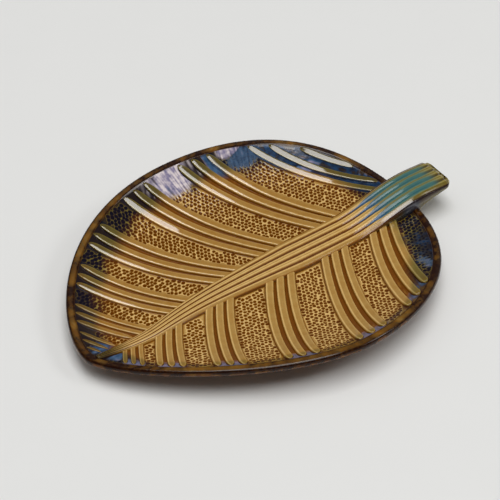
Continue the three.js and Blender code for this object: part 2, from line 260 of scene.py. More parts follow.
def leaf_side(side, widest, half_width, tip_roundness, flank_reach, shoulder_reach, base_roundness):
    """One side of the outline from the tip to the stalk end; side is 1 for far and -1 for near."""
    tip_angle = math.radians(90 + side * TIP_SKEW_DEGREES)
    tip = Vector((0, 0))
    tip_handle = Vector((math.cos(tip_angle), side * math.sin(tip_angle))) * tip_roundness
    flank_handle = Vector((widest - flank_reach, side * half_width))
    wide = Vector((widest, side * half_width))
    shoulder_handle = Vector((widest + shoulder_reach, side * half_width))
    base_handle = Vector((BLADE_LENGTH, side * base_roundness))
    base = Vector((BLADE_LENGTH, 0))
    flank = interpolate_bezier(tip, tip_handle, flank_handle, wide, OUTLINE_POINTS)
    shoulder = interpolate_bezier(wide, shoulder_handle, base_handle, base, OUTLINE_POINTS)
    return flank + shoulder[1:]


def outline_table():
    """The outline's reach from the hub against the angle round it."""
    far = leaf_side(1, FAR_WIDEST_FROM_TIP, FAR_HALF_WIDTH, FAR_TIP_ROUNDNESS, FAR_FLANK_REACH,
                    FAR_SHOULDER_REACH, FAR_BASE_ROUNDNESS)
    near = leaf_side(-1, NEAR_WIDEST_FROM_TIP, NEAR_HALF_WIDTH, NEAR_TIP_ROUNDNESS, NEAR_FLANK_REACH,
                     NEAR_SHOULDER_REACH, NEAR_BASE_ROUNDNESS)
    rows = []
    for point in far[1:-1] + near[1:-1] + [far[-1]]:
        arm = point - Vector((HUB_FROM_TIP, 0))
        rows.append((math.atan2(arm.y, arm.x), arm.length))
    rows.sort()
    tip_row = (math.pi, HUB_FROM_TIP)
    rows = [(-math.pi, HUB_FROM_TIP)] + rows + [tip_row]
    return [row[0] for row in rows], [row[1] for row in rows]


OUTLINE_ANGLES, OUTLINE_REACHES = outline_table()


def leaf_reach(angle):
    """Distance from the hub to the outline at an angle."""
    return table_value(OUTLINE_ANGLES, OUTLINE_REACHES, angle) - SKIN_INSET


def rim_height(angle):
    """Height of the lip's top: highest at mid-length, lower at the tip and at the stalk."""
    x = HUB_FROM_TIP + leaf_reach(angle) * math.cos(angle)
    from_middle = 2 * x / BLADE_LENGTH - 1
    drop = TIP_RIM_DROP if from_middle < 0 else STALK_RIM_DROP
    return SIDE_RIM_HEIGHT - drop * from_middle ** 2


def on_spoke(angle, distance, height):
    """A point at a distance from the hub."""
    return Vector((HUB_FROM_TIP + distance * math.cos(angle), distance * math.sin(angle), height))


def spoke_of(x, y):
    """The angle and distance of a plan point from the hub."""
    return math.atan2(y, x - HUB_FROM_TIP), math.hypot(x - HUB_FROM_TIP, y)


def wall_height(angle, share):
    """Height of the dish's top a share of the way from the hub to the lip."""
    rise = rim_height(angle) - LIP_STEP - FLOOR_HEIGHT
    return FLOOR_HEIGHT + rise * min(share, 1.0) ** WALL_CURVE


def underside_height(angle, share):
    rise = rim_height(angle) - LIP_HEIGHT - UNDERSIDE_HEIGHT
    return UNDERSIDE_HEIGHT + rise * share ** WALL_CURVE


def dish_top(x, y):
    angle, distance = spoke_of(x, y)
    return wall_height(angle, distance / (leaf_reach(angle) - LIP_WIDTH))


def gap_to_lip(x, y):
    """How far a plan point lies inside the lip's inner edge."""
    angle, distance = spoke_of(x, y)
    return leaf_reach(angle) - LIP_WIDTH - distance


def strap_line():
    """The strap's middle line: a smooth curve through its tip, its two bends and the stalk."""
    knots = [
        Vector((MIDRIB_START, MIDRIB_TIP_OFFSET)),
        Vector((MIDRIB_BEND_FROM_TIP, MIDRIB_BEND_OFFSET)),
        Vector((MIDRIB_CROWN_FROM_TIP, MIDRIB_CROWN_OFFSET)),
        Vector((BLADE_LENGTH, STALK_OFFSET)),
        Vector((STALK_END, STALK_OFFSET)),
    ]
    handles = []
    for index in range(len(knots)):
        before = knots[max(index - 1, 0)]
        after = knots[min(index + 1, len(knots) - 1)]
        handles.append((after - before) * STRAP_HANDLE_SHARE)
    points = [knots[0]]
    for index in range(len(knots) - 1):
        first, second = knots[index], knots[index + 1]
        points += interpolate_bezier(
            first, first + handles[index], second - handles[index + 1], second, OUTLINE_POINTS)[1:]
    return [point.x for point in points], [point.y for point in points]


STRAP_X, STRAP_Y = strap_line()


def strap_middle(x):
    return table_value(STRAP_X, STRAP_Y, x)


def strap_taper(x):
    """How far the strap has widened from its tip, 0 to 1."""
    return min(1.0, max(0.0, (x - MIDRIB_START) / MIDRIB_TAPER_LENGTH))


def strap_half_width(x):
    """Half the strap's width, with round corners at the end of the stalk."""
    width = blend(MIDRIB_TIP_HALF_WIDTH, STALK_HALF_WIDTH, strap_taper(x))
    into_corner = max(0.0, x - (STALK_END - STALK_CORNER))
    return width - STALK_CORNER + math.sqrt(max(0.0, STALK_CORNER ** 2 - into_corner ** 2))


def strap_top(x):
    """Height of the strap's crown: it lies on the floor, climbs over the rim and droops to its end."""
    floor = dish_top(min(x, BLADE_LENGTH - LIP_WIDTH), strap_middle(x))
    lying = floor + blend(MIDRIB_TIP_THICKNESS, MIDRIB_THICKNESS, math.sqrt(strap_taper(x)))
    beyond = max(0.0, x - BLADE_LENGTH) / STALK_REACH
    raised = rim_height(0) + STALK_RISE - STALK_DROOP * beyond ** 2
    climb = 1 - ease(STALK_CLIMB_END, STALK_CLIMB_START, BLADE_LENGTH - x)
    return blend(lying, raised, climb)


def gap_to_strap(x, y):
    """How far a plan point lies outside the strap's edge."""
    if x < MIDRIB_START:
        return math.hypot(MIDRIB_START - x, y - MIDRIB_TIP_OFFSET)
    return abs(y - strap_middle(x)) - strap_half_width(min(x, STALK_END))


class Rib:
    """One rib's line in plan, from under the strap's edge to just short of the lip, bowed towards the tip."""

    def __init__(self, node, side, station, lean, width, shelf):
        self.node = node
        self.side = side
        self.shelf = shelf
        self.round_end = FAR_RIB_ROUND_END if side > 0 else NEAR_RIB_ROUND_END
        self.width = width
        self.height = RIB_HEIGHT_TO_WIDTH * width
        self.direction = Vector((-math.cos(lean), side * math.sin(lean)))
        self.axis_point = Vector((BLADE_LENGTH - station, 0))
        first, last = self.trace()
        self.length = last - first
        bulge = Vector((-math.sin(lean), -side * math.cos(lean)))
        bow = RIB_BOW * min(1.0, self.length / RIB_FULL_BOW_LENGTH) ** 2
        self.starts_clear = gap_to_strap(*self.at(first)) > 0
        self.start = self.at(first)
        self.end = self.at(last)
        self.control = (self.start + self.end) / 2 + bulge * 2 * bow

    def at(self, distance):
        return self.axis_point + self.direction * distance

    def is_clear(self, distance):
        """Whether a point of the line is inside the lip and past the strap's middle part."""
        point = self.at(distance)
        if point.x < MIDRIB_START or gap_to_lip(point.x, point.y) < RIB_END_GAP:
            return False
        past_middle = self.side * (point.y - strap_middle(point.x))
        return past_middle > max(0.0, strap_half_width(min(point.x, STALK_END)) - RIB_TUCK)

    def trace(self):
        """The distances along the line where the rib starts and ends."""
        first = 0.0
        while not self.is_clear(first):
            first += RIB_TRACE_STEP
        last = first
        while self.is_clear(last + RIB_TRACE_STEP):
            last += RIB_TRACE_STEP
        return first, last

    def point(self, share):
        rest = 1 - share
        return self.start * rest ** 2 + self.control * 2 * rest * share + self.end * share ** 2

    def into_end(self, share):
        """How far a place along the rib lies in a rounded end, 0 to 1."""
        to_end = self.length * (1 - share)
        if self.starts_clear:
            to_end = min(to_end, self.length * share)
        return max(0.0, 1 - to_end / self.round_end)

    def left(self, share):
        """The direction across the rib: towards the tip on a far rib, towards the stalk on a near one."""
        along = (self.control - self.start) * (1 - share) + (self.end - self.control) * share
        return Vector((-along.y, along.x)).normalized()


def rib_shelf(side, number, index):
    """The shelf of one rib of a vein, if it has one."""
    if side < 0 or number > len(FAR_SHELVES):
        return None
    if index == 0:
        return FAR_SHELVES[number - 1]
    return WIDE_SHELF if number == 1 else None


def vein_ribs():
    """Every rib of both sides."""
    ribs = []
    for side_name, side, veins in (("far", 1, FAR_VEINS), ("near", -1, NEAR_VEINS)):
        for number, vein in enumerate(veins, 1):
            pitch = RIB_PITCH * vein.spread
            width = pitch * math.sin(math.radians(vein.lean)) - RIB_GROOVE
            for index in range(RIBS_PER_VEIN):
                from_middle = index - (RIBS_PER_VEIN - 1) / 2
                lean = math.radians(vein.lean + from_middle * RIB_FAN_DEGREES)
                station = vein.along * BLADE_LENGTH - from_middle * pitch
                node = f"{side_name}_vein_{number}_rib_{index + 1}"
                ribs.append(Rib(node, side, station, lean, width, rib_shelf(side, number, index)))
    return ribs


RIBS = vein_ribs()


def rib_finder():
    """A tree of points along every rib's middle line."""
    tree = kdtree.KDTree(len(RIBS) * (RIB_SAMPLES + 1))
    for number, rib in enumerate(RIBS):
        for sample in range(RIB_SAMPLES + 1):
            point = rib.point(sample / RIB_SAMPLES)
            tree.insert((point.x, point.y, 0), number)
    tree.balance()
    return tree


RIB_TREE = rib_finder()


def gap_to_rib(x, y):
    """How far a plan point lies outside the nearest rib's edge."""
    _, number, distance = RIB_TREE.find((x, y, 0))
    return distance - RIBS[number].width / 2


def gaps_to_ribs(x, y):
    """How far a plan point lies outside the edges of the two nearest ribs."""
    gaps = {}
    for _, number, distance in RIB_TREE.find_range((x, y, 0), RIB_SEARCH):
        gap = distance - RIBS[number].width / 2
        gaps[number] = min(gap, gaps.get(number, gap))
    return (sorted(gaps.values()) + [RIB_PITCH, RIB_PITCH])[:2]


def panel_width(x, y):
    """The room between the two ribs beside a plan point; none between the first far vein and the stalk."""
    first = RIBS[0]
    if y > 0 and (Vector((x, y)) - first.start).cross(first.direction) > 0:
        return 0.0
    return sum(gaps_to_ribs(x, y))


def between_ribs(x, y):
    """Whether a plan point lies in the groove between two ribs, 0 to 1."""
    return ease(*GROOVE_ROOM, panel_width(x, y))


def gap_to_relief(x, y):
    """How far a plan point lies from the nearest rib or the strap."""
    return min(gap_to_rib(x, y), gap_to_strap(x, y))


# Kinds of smooth unevenness, each with its grain size and a layer of its own in the noise.
Mottle = namedtuple("Mottle", "grain layer")
POOL_MOTTLE = Mottle(6 * MM, 3.0)
FLOW_MOTTLE = Mottle(14 * MM, 7.0)
PIT_X_MOTTLE = Mottle(2 * MM, 11.0)
PIT_Y_MOTTLE = Mottle(2 * MM, 17.0)
CAUGHT_MOTTLE = Mottle(7 * MM, 13.0)
LIP_PATCHES = Mottle(20 * MM, 23.0)
LIP_RUNS = Mottle(7 * MM, 37.0)
LIP_SPECKS = Mottle(3 * MM, 29.0)
RIB_MOTTLE = Mottle(9 * MM, 31.0)
TEAL_MOTTLE = Mottle(9 * MM, 41.0)
STREAK_LAYER = 5.0


def mottle(x, y, kind):
    """Smooth unevenness between -1 and 1."""
    return noise.noise(Vector((x / kind.grain, y / kind.grain, kind.layer)))


# Blue float pools: middle, half-lengths along x and y, hue from pale (0) to navy (1), and strength.
Pool = namedtuple("Pool", "x y half_x half_y hue strength")
FLOAT_POOLS = (
    # The first two, pale lilac on the far wall by the rim, are float with a painted reflection of the key
    # soft box over it.
    Pool(146 * MM, 108 * MM, 21 * MM, 14 * MM, 0.12, 0.95),
    Pool(199 * MM, 110 * MM, 11 * MM, 7 * MM, 0.2, 0.9),
    Pool(208 * MM, 98 * MM, 15 * MM, 8 * MM, 0.5, 0.85),
    Pool(269 * MM, 66 * MM, 9 * MM, 24 * MM, 0.85, 0.8),
    Pool(15 * MM, 4 * MM, 8 * MM, 5 * MM, 0.52, 0.9),
    Pool(19 * MM, -11 * MM, 6 * MM, 4 * MM, 0.46, 0.9),
    Pool(255 * MM, -69 * MM, 9 * MM, 12 * MM, 0.42, 0.65),
    Pool(266 * MM, -61 * MM, 16 * MM, 27 * MM, 0.8, 0.9),
    Pool(243 * MM, 66 * MM, 11 * MM, 7 * MM, 0.3, 1.0),
)
POOL_RAGGEDNESS = 0.35
POOL_EDGE = (1.2, 0.6)
STREAKS_PER_RADIAN = 70
STREAK_LENGTH = 14 * MM
STREAK_HUE = 0.3

# How far the olive run comes down from the lip on each part of the leaf.
FAR_FLOW = 27 * MM
NEAR_FLOW = 7 * MM
NEAR_FLOW_STRENGTH = 0.6
STALK_SIDE_FLOW = 27 * MM
TIP_FLOW = 16 * MM
FLOW_FULL = 0.45
FLOW_RAGGEDNESS = 0.25
FAR_FLOW_RISE = (0, 60 * MM)
FAR_SIDE = (-12 * MM, 12 * MM)
STALK_SIDE = (205 * MM, 250 * MM)
TIP_SIDE = (38 * MM, 20 * MM)

# Darkening of the glaze towards the tip, and pooling beside the lip.
TIP_DARKENING = 0.24
TIP_DARK_SPAN = (52 * MM, 18 * MM)
LIP_POOLING = 0.2
LIP_POOL = (10 * MM, 2 * MM)

# Blue float caught between ribs: where it ends away from the lip, its strength, its two hues, where along the
# leaf they change, and how much that place sways.
Caught = namedtuple("Caught", "end strength hues change sway")
CAUGHT_REACH = 24 * MM
FAR_CAUGHT = Caught((CAUGHT_REACH, 0.6 * CAUGHT_REACH), 1.0, (0.42, 0.7), (206 * MM, 240 * MM), 2)
NEAR_CAUGHT = Caught((8 * MM, 4 * MM), 0.75, (0.28, 0.4), (170 * MM, 225 * MM), 0)
FAR_CAUGHT_FROM = 178 * MM
CAUGHT_RAGGEDNESS = 3 * MM

# Panels: the pooled foot of the ribs, the net between the pits, and what fills the pits.
FOOT_TONE = 0.24
RIB_FOOT = (-0.2 * MM, PANEL_MARGIN)
NET_TONE = 0.88
SHADED_SHARE = 0.84
SHADED_NET = (1 * MM, 4 * MM)
FAR_PANEL_SHARE = 0.9
FAR_PANELS = (0, 30 * MM)
FLOW_DARKENING = 0.4
FLOW_FILLING = 0.8
FLOAT_FILLING = 1.2
GROOVE_LINE = (2.7 * MM, 1.5 * MM)
GROOVE_MATT = 0.8
STEP_MATT = 0.8
PANEL_STEP = (1.4 * MM, 0.3 * MM)

# Dark coat on the lip's top. A pair of darks is for the tip end and the stalk end, and changes between them.
FAR_LIP_DARKS = (0.52, 0.85)
FAR_LIP_CHANGE = (95 * MM, 140 * MM)
NEAR_LIP_DARKS = (0.5, 0.84)
NEAR_LIP_CHANGE = (150 * MM, 250 * MM)
LIP_SIDES = (-20 * MM, 20 * MM)
FAR_PATCH_PALING = 0.5
FAR_PATCH = (0.05, 0.35)
NEAR_PATCH_DARK = 0.4
RUN_DARK = 0.5
SPECK_DARK = 0.4
TIP_LIP_DARK = 0.42
LIP_TIP = (45 * MM, 15 * MM)
STEP_DARK = 0.4
DARK_STEP = (4.6 * MM, 6 * MM)
FULL_DARK = 0.97
DARK_EDGE = (2.4 * MM, 1.2 * MM)
LIP_TONE = 0.52
SPECK_TONE = 0.25
LIP_FLOW = 0.25

# Outside of the lip, where the dark coat ends in drips, from the shortest to the longest.
OUTSIDE = (0.5 * MM, 1.2 * MM)
DRIPS = (1.6 * MM, 4.6 * MM)
DRIP_CHANGE = (-0.35, 0.35)
DRIP_SPECK = 0.6 * MM
DRIP_SOFTNESS = 0.4 * MM
OUTSIDE_DARK = 0.2
OUTSIDE_TONE = 0.34
OUTSIDE_FLOW = 0.1

# Matt skin on the lip's top: the near side's flat, the outer edge from tip to stalk, and the inner step.
NEAR_LIP_MATT = 0.8
NEAR_LIP_FLAT = (2.4 * MM, 3.4 * MM)
EDGE_MATTS = (1.0, 0.3)
EDGE_MATT_CHANGE = (150 * MM, 210 * MM)
MATT_EDGE = (2.8 * MM, 1.6 * MM)
MATT_STEP = (4.4 * MM, 5.2 * MM)


def streak_at(x, y):
    """Unevenness between -1 and 1 that runs down the wall, as the glaze did."""
    angle, distance = spoke_of(x, y)
    return noise.noise(Vector((STREAKS_PER_RADIAN * angle, distance / STREAK_LENGTH, STREAK_LAYER)))


def pool_at(x, y):
    """The blue float's strength and hue at a plan point."""
    strength, hue = 0.0, 0.0
    streak = streak_at(x, y)
    ragged = POOL_RAGGEDNESS * (mottle(x, y, POOL_MOTTLE) + streak)
    for pool in FLOAT_POOLS:
        away = math.hypot((x - pool.x) / pool.half_x, (y - pool.y) / pool.half_y)
        share = pool.strength * ease(*POOL_EDGE, away + ragged)
        if share > strength:
            strength, hue = share, pool.hue + STREAK_HUE * (1 - pool.hue) * streak
    return strength, min(1.0, max(0.0, hue))


def flow_at(x, y, to_lip):
    """The strength of the olive run below the lip at a plan point."""
    is_far = ease(*FAR_SIDE, y)
    stalk_side = ease(*STALK_SIDE, x)
    tip_side = ease(*TIP_SIDE, x)
    far = blend(TIP_FLOW, FAR_FLOW, ease(*FAR_FLOW_RISE, x))
    near = blend(NEAR_FLOW, STALK_SIDE_FLOW, stalk_side) + TIP_FLOW * tip_side
    reach = blend(near, far, is_far) * (1 + FLOW_RAGGEDNESS * mottle(x, y, FLOW_MOTTLE))
    strength = blend(NEAR_FLOW_STRENGTH, 1.0, max(is_far, stalk_side, tip_side))
    return strength * ease(reach, FLOW_FULL * reach, to_lip)


def darkening_at(x, to_lip):
    """The share of the tone left towards the tip, where the glaze is darker, and beside the lip, where it
    pools.
    """
    return (1 - TIP_DARKENING * ease(*TIP_DARK_SPAN, x)) * (1 - LIP_POOLING * ease(*LIP_POOL, to_lip))


def holds_pit(x, y):
    """Whether a plan point lies in a panel, clear of its ribs, the strap and the lip."""
    margin = PANEL_MARGIN * blend(TIP_MARGIN_SHARE, 1.0, ease(*TIP_PANELS, x))
    inside = gap_to_lip(x, y) > PANEL_LIP_MARGIN and gap_to_relief(x, y) > margin
    return inside and panel_width(x, y) > NARROW_PANEL


def pressed_pits(settings):
    """The stipple's pits: an uneven net of points in the panels, each with its own size."""
    draw = random.Random(settings.seed)
    pitch = settings.pitch
    row_pitch = pitch * PIT_ROW_SHARE
    shift = settings.unevenness * pitch
    pits = []
    for row in range(int((FAR_HALF_WIDTH + NEAR_HALF_WIDTH) / row_pitch) + 1):
        for column in range(int(BLADE_LENGTH / pitch) + 1):
            x = (column + 0.5 * (row % 2)) * pitch + draw.uniform(-1, 1) * shift
            y = row * row_pitch - NEAR_HALF_WIDTH + draw.uniform(-1, 1) * shift
            radius = pitch / 2 * draw.uniform(1 - PIT_SIZE_SPREAD, 1 + PIT_SIZE_SPREAD)
            if holds_pit(x, y):
                pits.append((Vector((x, y, 0)), radius))
    return pits


class Stipple:
    """The pits of the panels, and what they do to the dish's top."""

    def __init__(self, settings):
        self.depth = settings.depth
        self.crest = settings.crest
        self.pits = pressed_pits(settings)
        self.tree = kdtree.KDTree(len(self.pits))
        for number, (middle, _) in enumerate(self.pits):
            self.tree.insert(middle, number)
        self.tree.balance()

    def closeness(self, x, y):
        """0 in the middle of a pit, 1 on the net between two pits and more beyond the outermost ones."""
        wander = PIT_WANDER * mottle(x, y, PIT_X_MOTTLE)
        drift = PIT_WANDER * mottle(x, y, PIT_Y_MOTTLE)
        found = self.tree.find_n((x + wander, y + drift, 0), 2)
        first, second = sorted(distance / self.pits[number][1] for _, number, distance in found)
        return max(2 * first / (first + second), LONE_PIT * first)

    def lift(self, pit, beside):
        """How far the net rises or a pit falls; beside is 0 at a rib's foot and 1 clear of it."""
        return self.crest * ease(*NET_RISE, pit) * beside - self.depth * ease(*PIT_FALL, pit)


def groove_float(x, y, to_lip, depth):
    """The strength and hue of the blue float beside ribs near the lip; a groove's depth is 0 to 1."""
    if to_lip > CAUGHT_REACH or (y > 0 and x < FAR_CAUGHT_FROM):
        return 0.0, 0.0
    caught = FAR_CAUGHT if y > 0 else NEAR_CAUGHT
    ragged = CAUGHT_RAGGEDNESS * mottle(x, y, CAUGHT_MOTTLE)
    strength = caught.strength * ease(*caught.end, to_lip + ragged)
    hue = blend(*caught.hues, ease(*caught.change, x + caught.sway * ragged))
    return strength * depth, hue


def panel_tone(x, y, to_lip, gap, flow):
    """The tone of a panel's net, a gap away from the nearest rib or the strap."""
    tone = blend(FOOT_TONE, NET_TONE, ease(*RIB_FOOT, gap))
    tone *= blend(SHADED_SHARE, 1.0, ease(*SHADED_NET, gap)) * (1 - FLOW_DARKENING * flow)
    return tone * blend(1.0, FAR_PANEL_SHARE, ease(*FAR_PANELS, y)) * darkening_at(x, to_lip)


def panel_surface(stipple, x, y, to_lip):
    """How far the dish's top is lifted by its stipple, and its glaze, at a plan point."""
    gap = gap_to_relief(x, y)
    flow = flow_at(x, y, to_lip)
    float_share, hue = pool_at(x, y)
    pit = stipple.closeness(x, y) + FLOAT_FILLING * float_share * (1 - hue)
    lift = stipple.lift(pit, ease(*RIB_FOOT, gap)) * (1 - FLOW_FILLING * flow)
    groove = between_ribs(x, y) * ease(*GROOVE_LINE, gap)
    tone = blend(panel_tone(x, y, to_lip, gap, flow), FOOT_TONE, groove)
    caught, caught_hue = groove_float(x, y, to_lip, groove)
    if caught > float_share:
        float_share, hue = caught, caught_hue
    matt = max(STEP_MATT * ease(*PANEL_STEP, to_lip), GROOVE_MATT * groove)
    return lift, Coat(tone, pit, flow, float_share, hue, 0, 0, matt)


# The lip's unevenness at a point: broad patches, runs and specks, each from -1 to 1.
Uneven = namedtuple("Uneven", "patch run speck")


def lip_top_dark(x, far, inward, uneven):
    """How dark the lip's top is: uneven between its dark edge and step, darker by the tip and the stalk."""
    far_dark = blend(*FAR_LIP_DARKS, ease(*FAR_LIP_CHANGE, x))
    far_dark -= FAR_PATCH_PALING * ease(*FAR_PATCH, uneven.patch)
    near_dark = blend(*NEAR_LIP_DARKS, ease(*NEAR_LIP_CHANGE, x)) + NEAR_PATCH_DARK * uneven.patch
    dark = blend(near_dark, far_dark, far) + RUN_DARK * uneven.run + SPECK_DARK * uneven.speck
    dark += TIP_LIP_DARK * ease(*LIP_TIP, x) + STEP_DARK * ease(*DARK_STEP, inward)
    return blend(dark, FULL_DARK, ease(*DARK_EDGE, inward))


def outside_dark(below, uneven):
    """How dark the outside is, below the lip's top."""
    drip = blend(*DRIPS, ease(*DRIP_CHANGE, uneven.run)) + DRIP_SPECK * uneven.speck
    return blend(OUTSIDE_DARK, FULL_DARK, ease(drip + DRIP_SOFTNESS, drip - DRIP_SOFTNESS, below))


def lip_top_matt(x, far, inward):
    """How matt the lip's top is."""
    near_flat = NEAR_LIP_MATT * (1 - far) * ease(*NEAR_LIP_FLAT, inward)
    edge = blend(*EDGE_MATTS, ease(*EDGE_MATT_CHANGE, x)) * ease(*MATT_EDGE, inward)
    return max(near_flat, edge, STEP_MATT * ease(*MATT_STEP, inward))


def lip_coat(angle, inward, below):
    """The glaze on the lip and the outside: inward from the outline and below the lip's top."""
    x = HUB_FROM_TIP + leaf_reach(angle) * math.cos(angle)
    y = leaf_reach(angle) * math.sin(angle)
    speck = mottle(x + inward, y + inward, LIP_SPECKS)
    uneven = Uneven(mottle(x, y, LIP_PATCHES), mottle(x, y, LIP_RUNS), speck)
    far = ease(*LIP_SIDES, y)
    outside = ease(*OUTSIDE, below)
    dark = blend(lip_top_dark(x, far, inward, uneven), outside_dark(below, uneven), outside)
    dark = min(1.0, max(0.0, dark))
    tone = blend(LIP_TONE, OUTSIDE_TONE, outside) + SPECK_TONE * speck
    flow = blend(LIP_FLOW, OUTSIDE_FLOW, outside)
    matt = max(outside, lip_top_matt(x, far, inward))
    return Coat(tone, NO_PIT, flow, 0, 0, dark, 0, matt)


def coat_layers(bm):
    """The vertex layers that carry the glaze to the shaders."""
    return [bm.verts.layers.float.new(name) for name in Coat._fields]


def lay_coat(vert, layers, coat):
    """Writes a coat to a vertex."""
    for layer, value in zip(layers, coat):
        vert[layer] = value


def finish_piece(bm, name, node, material):
    """Moves a mesh from leaf places to the frame, puts it under the root and hides the frame's node that it
    stands in for.
    """
    bmesh.ops.translate(bm, vec=(TIP_X, AXIS_Y, 0), verts=bm.verts)
    mesh = bpy.data.meshes.new(name)
    bm.to_mesh(mesh)
    bm.free()
    mesh.shade_smooth()
    mesh.materials.append(material)
    piece = bpy.data.objects.new(name, mesh)
    bpy.context.scene.collection.objects.link(piece)
    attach(piece, "root")
    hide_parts(node)


def disc_place(across, up):
    """A place in the square from -1 to 1, as an angle and a share of the way out on a round disc."""
    if across == 0 and up == 0:
        return 0.0, 0.0
    if abs(across) >= abs(up):
        share, angle = across, math.pi / 4 * up / across
    else:
        share, angle = up, math.pi / 2 - math.pi / 4 * across / up
    if share < 0:
        share, angle = -share, angle + math.pi
    return math.atan2(math.sin(angle), math.cos(angle)), share


def plan_place(co):
    """The plan point of a vertex of the square."""
    angle, share = disc_place(co.x, co.y)
    distance = share * (leaf_reach(angle) - LIP_WIDTH)
    return HUB_FROM_TIP + distance * math.cos(angle), distance * math.sin(angle)


def refine_panels(bm):
    """Divides the faces of the panels, so that they can carry the stipple."""
    edges = set()
    for face in bm.faces:
        place = plan_place(face.calc_center_median())
        if gap_to_relief(*place) > -REFINED_UNDER_RELIEF and panel_width(*place) > REFINED_ROOM:
            edges.update(face.edges)
    bmesh.ops.subdivide_edges(bm, edges=list(edges), cuts=PANEL_CUTS, use_grid_fill=True)


def extrude_ring(bm, edges, place):
    """Draws an open edge out to a new ring; place gives the new point at an angle round the hub."""
    made = bmesh.ops.extrude_edge_only(bm, edges=edges)["geom"]
    for vert in made:
        if isinstance(vert, bmesh.types.BMVert):
            angle, _ = spoke_of(vert.co.x, vert.co.y)
            vert.co = place(angle)
    return [edge for edge in made if isinstance(edge, bmesh.types.BMEdge) and edge.is_boundary]


def round_edges(bm, edges, radius, steps):
    bmesh.ops.bevel(bm, geom=edges, offset=radius, offset_type="OFFSET", segments=steps, profile=0.5,
                    affect="EDGES", material=-1)


def draw_lip_and_underside(bm, edges):
    """Draws the lip out of the dish's open edge, and the underside back to the hub."""
    def lip_ring(inward, below):
        return lambda angle: on_spoke(angle, leaf_reach(angle) - inward, rim_height(angle) - below)

    def underside_ring(share):
        return lambda angle: on_spoke(angle, share * (leaf_reach(angle) - LIP_LOWER_ROUNDING),
                                      underside_height(angle, share))

    inner = extrude_ring(bm, edges, lip_ring(LIP_WIDTH - LIP_STEP, 0))
    ring = inner
    for inward in LIP_RINGS:
        ring = extrude_ring(bm, ring, lip_ring(inward, 0))
    outer = extrude_ring(bm, ring, lip_ring(0, 0))
    lower = extrude_ring(bm, outer, lip_ring(0, LIP_HEIGHT))
    ring = lower
    for share in UNDERSIDE_RINGS:
        ring = extrude_ring(bm, ring, underside_ring(share))
    ring = extrude_ring(bm, ring, underside_ring(UNDERSIDE_RINGS[-1] / 2))
    pole = {vert for edge in ring for vert in edge.verts}
    bmesh.ops.pointmerge(bm, verts=list(pole), merge_co=(HUB_FROM_TIP, 0, UNDERSIDE_HEIGHT))
    round_edges(bm, outer, LIP_OUTER_ROUNDING, OUTER_ROUNDING_STEPS)
    round_edges(bm, lower, LIP_LOWER_ROUNDING, LIP_ROUNDING_STEPS)
    round_edges(bm, inner, LIP_INNER_ROUNDING, LIP_ROUNDING_STEPS)


def press_panels(bm, layers, stipple):
    """Moves a square grid onto the leaf, presses the stipple into it and glazes it."""
    for vert in bm.verts:
        angle, share = disc_place(vert.co.x, vert.co.y)
        lip_reach = leaf_reach(angle) - LIP_WIDTH
        place = on_spoke(angle, share * lip_reach, wall_height(angle, share))
        lift, coat = panel_surface(stipple, place.x, place.y, (1 - share) * lip_reach)
        place.z += lift
        vert.co = place
        lay_coat(vert, layers, coat)


def glaze_lip_and_outside(bm, layers):
    """Glazes the lip and all that lies well below the dish's top."""
    for vert in bm.verts:
        angle, distance = spoke_of(vert.co.x, vert.co.y)
        inward = leaf_reach(angle) - distance
        is_lip = inward < LIP_WIDTH - LIP_EDGE_SLACK
        is_under = vert.co.z < dish_top(vert.co.x, vert.co.y) - WELL_BELOW_TOP
        if is_lip or is_under:
            lay_coat(vert, layers, lip_coat(angle, inward, rim_height(angle) - vert.co.z))


def build_dish(stipple_settings, material):
    """The leaf dish: a fine grid pressed onto the leaf, with lip and underside drawn from its edge."""
    bm = bmesh.new()
    layers = coat_layers(bm)
    bmesh.ops.create_grid(bm, x_segments=DISH_CELLS, y_segments=DISH_CELLS, size=1)
    refine_panels(bm)
    press_panels(bm, layers, Stipple(stipple_settings))
    draw_lip_and_underside(bm, [edge for edge in bm.edges if edge.is_boundary])
    glaze_lip_and_outside(bm, layers)
    bmesh.ops.recalc_face_normals(bm, faces=bm.faces)
    finish_piece(bm, "glazed_leaf_dish", "leaf_dish", material)


def build_foot(material):
    """The bare foot ring, with its standing edges rounded."""
    bm = bmesh.new()
    bmesh.ops.create_circle(bm, segments=FOOT_SPOKES, radius=1)

    def ring(inset, seated):
        def place(angle):
            distance = leaf_reach(angle) - inset
            share = distance / (leaf_reach(angle) - LIP_LOWER_ROUNDING)
            return on_spoke(angle, distance, underside_height(angle, share) if seated else 0)
        return place

    top_inner = ring(FOOT_INSET + FOOT_WIDTH + FOOT_FLARE, True)
    for vert in bm.verts:
        vert.co = top_inner(math.atan2(vert.co.y, vert.co.x))
    first = list(bm.edges)
    inner = extrude_ring(bm, first, ring(FOOT_INSET + FOOT_WIDTH, False))
    outer = extrude_ring(bm, inner, ring(FOOT_INSET, False))
    last = extrude_ring(bm, outer, ring(FOOT_INSET - FOOT_FLARE, True))
    bmesh.ops.bridge_loops(bm, edges=first + last)
    round_edges(bm, inner + outer, FOOT_ROUNDING, FOOT_ROUNDING_STEPS)
    bmesh.ops.recalc_face_normals(bm, faces=bm.faces)
    finish_piece(bm, "bare_foot_ring", "foot_ring", material)


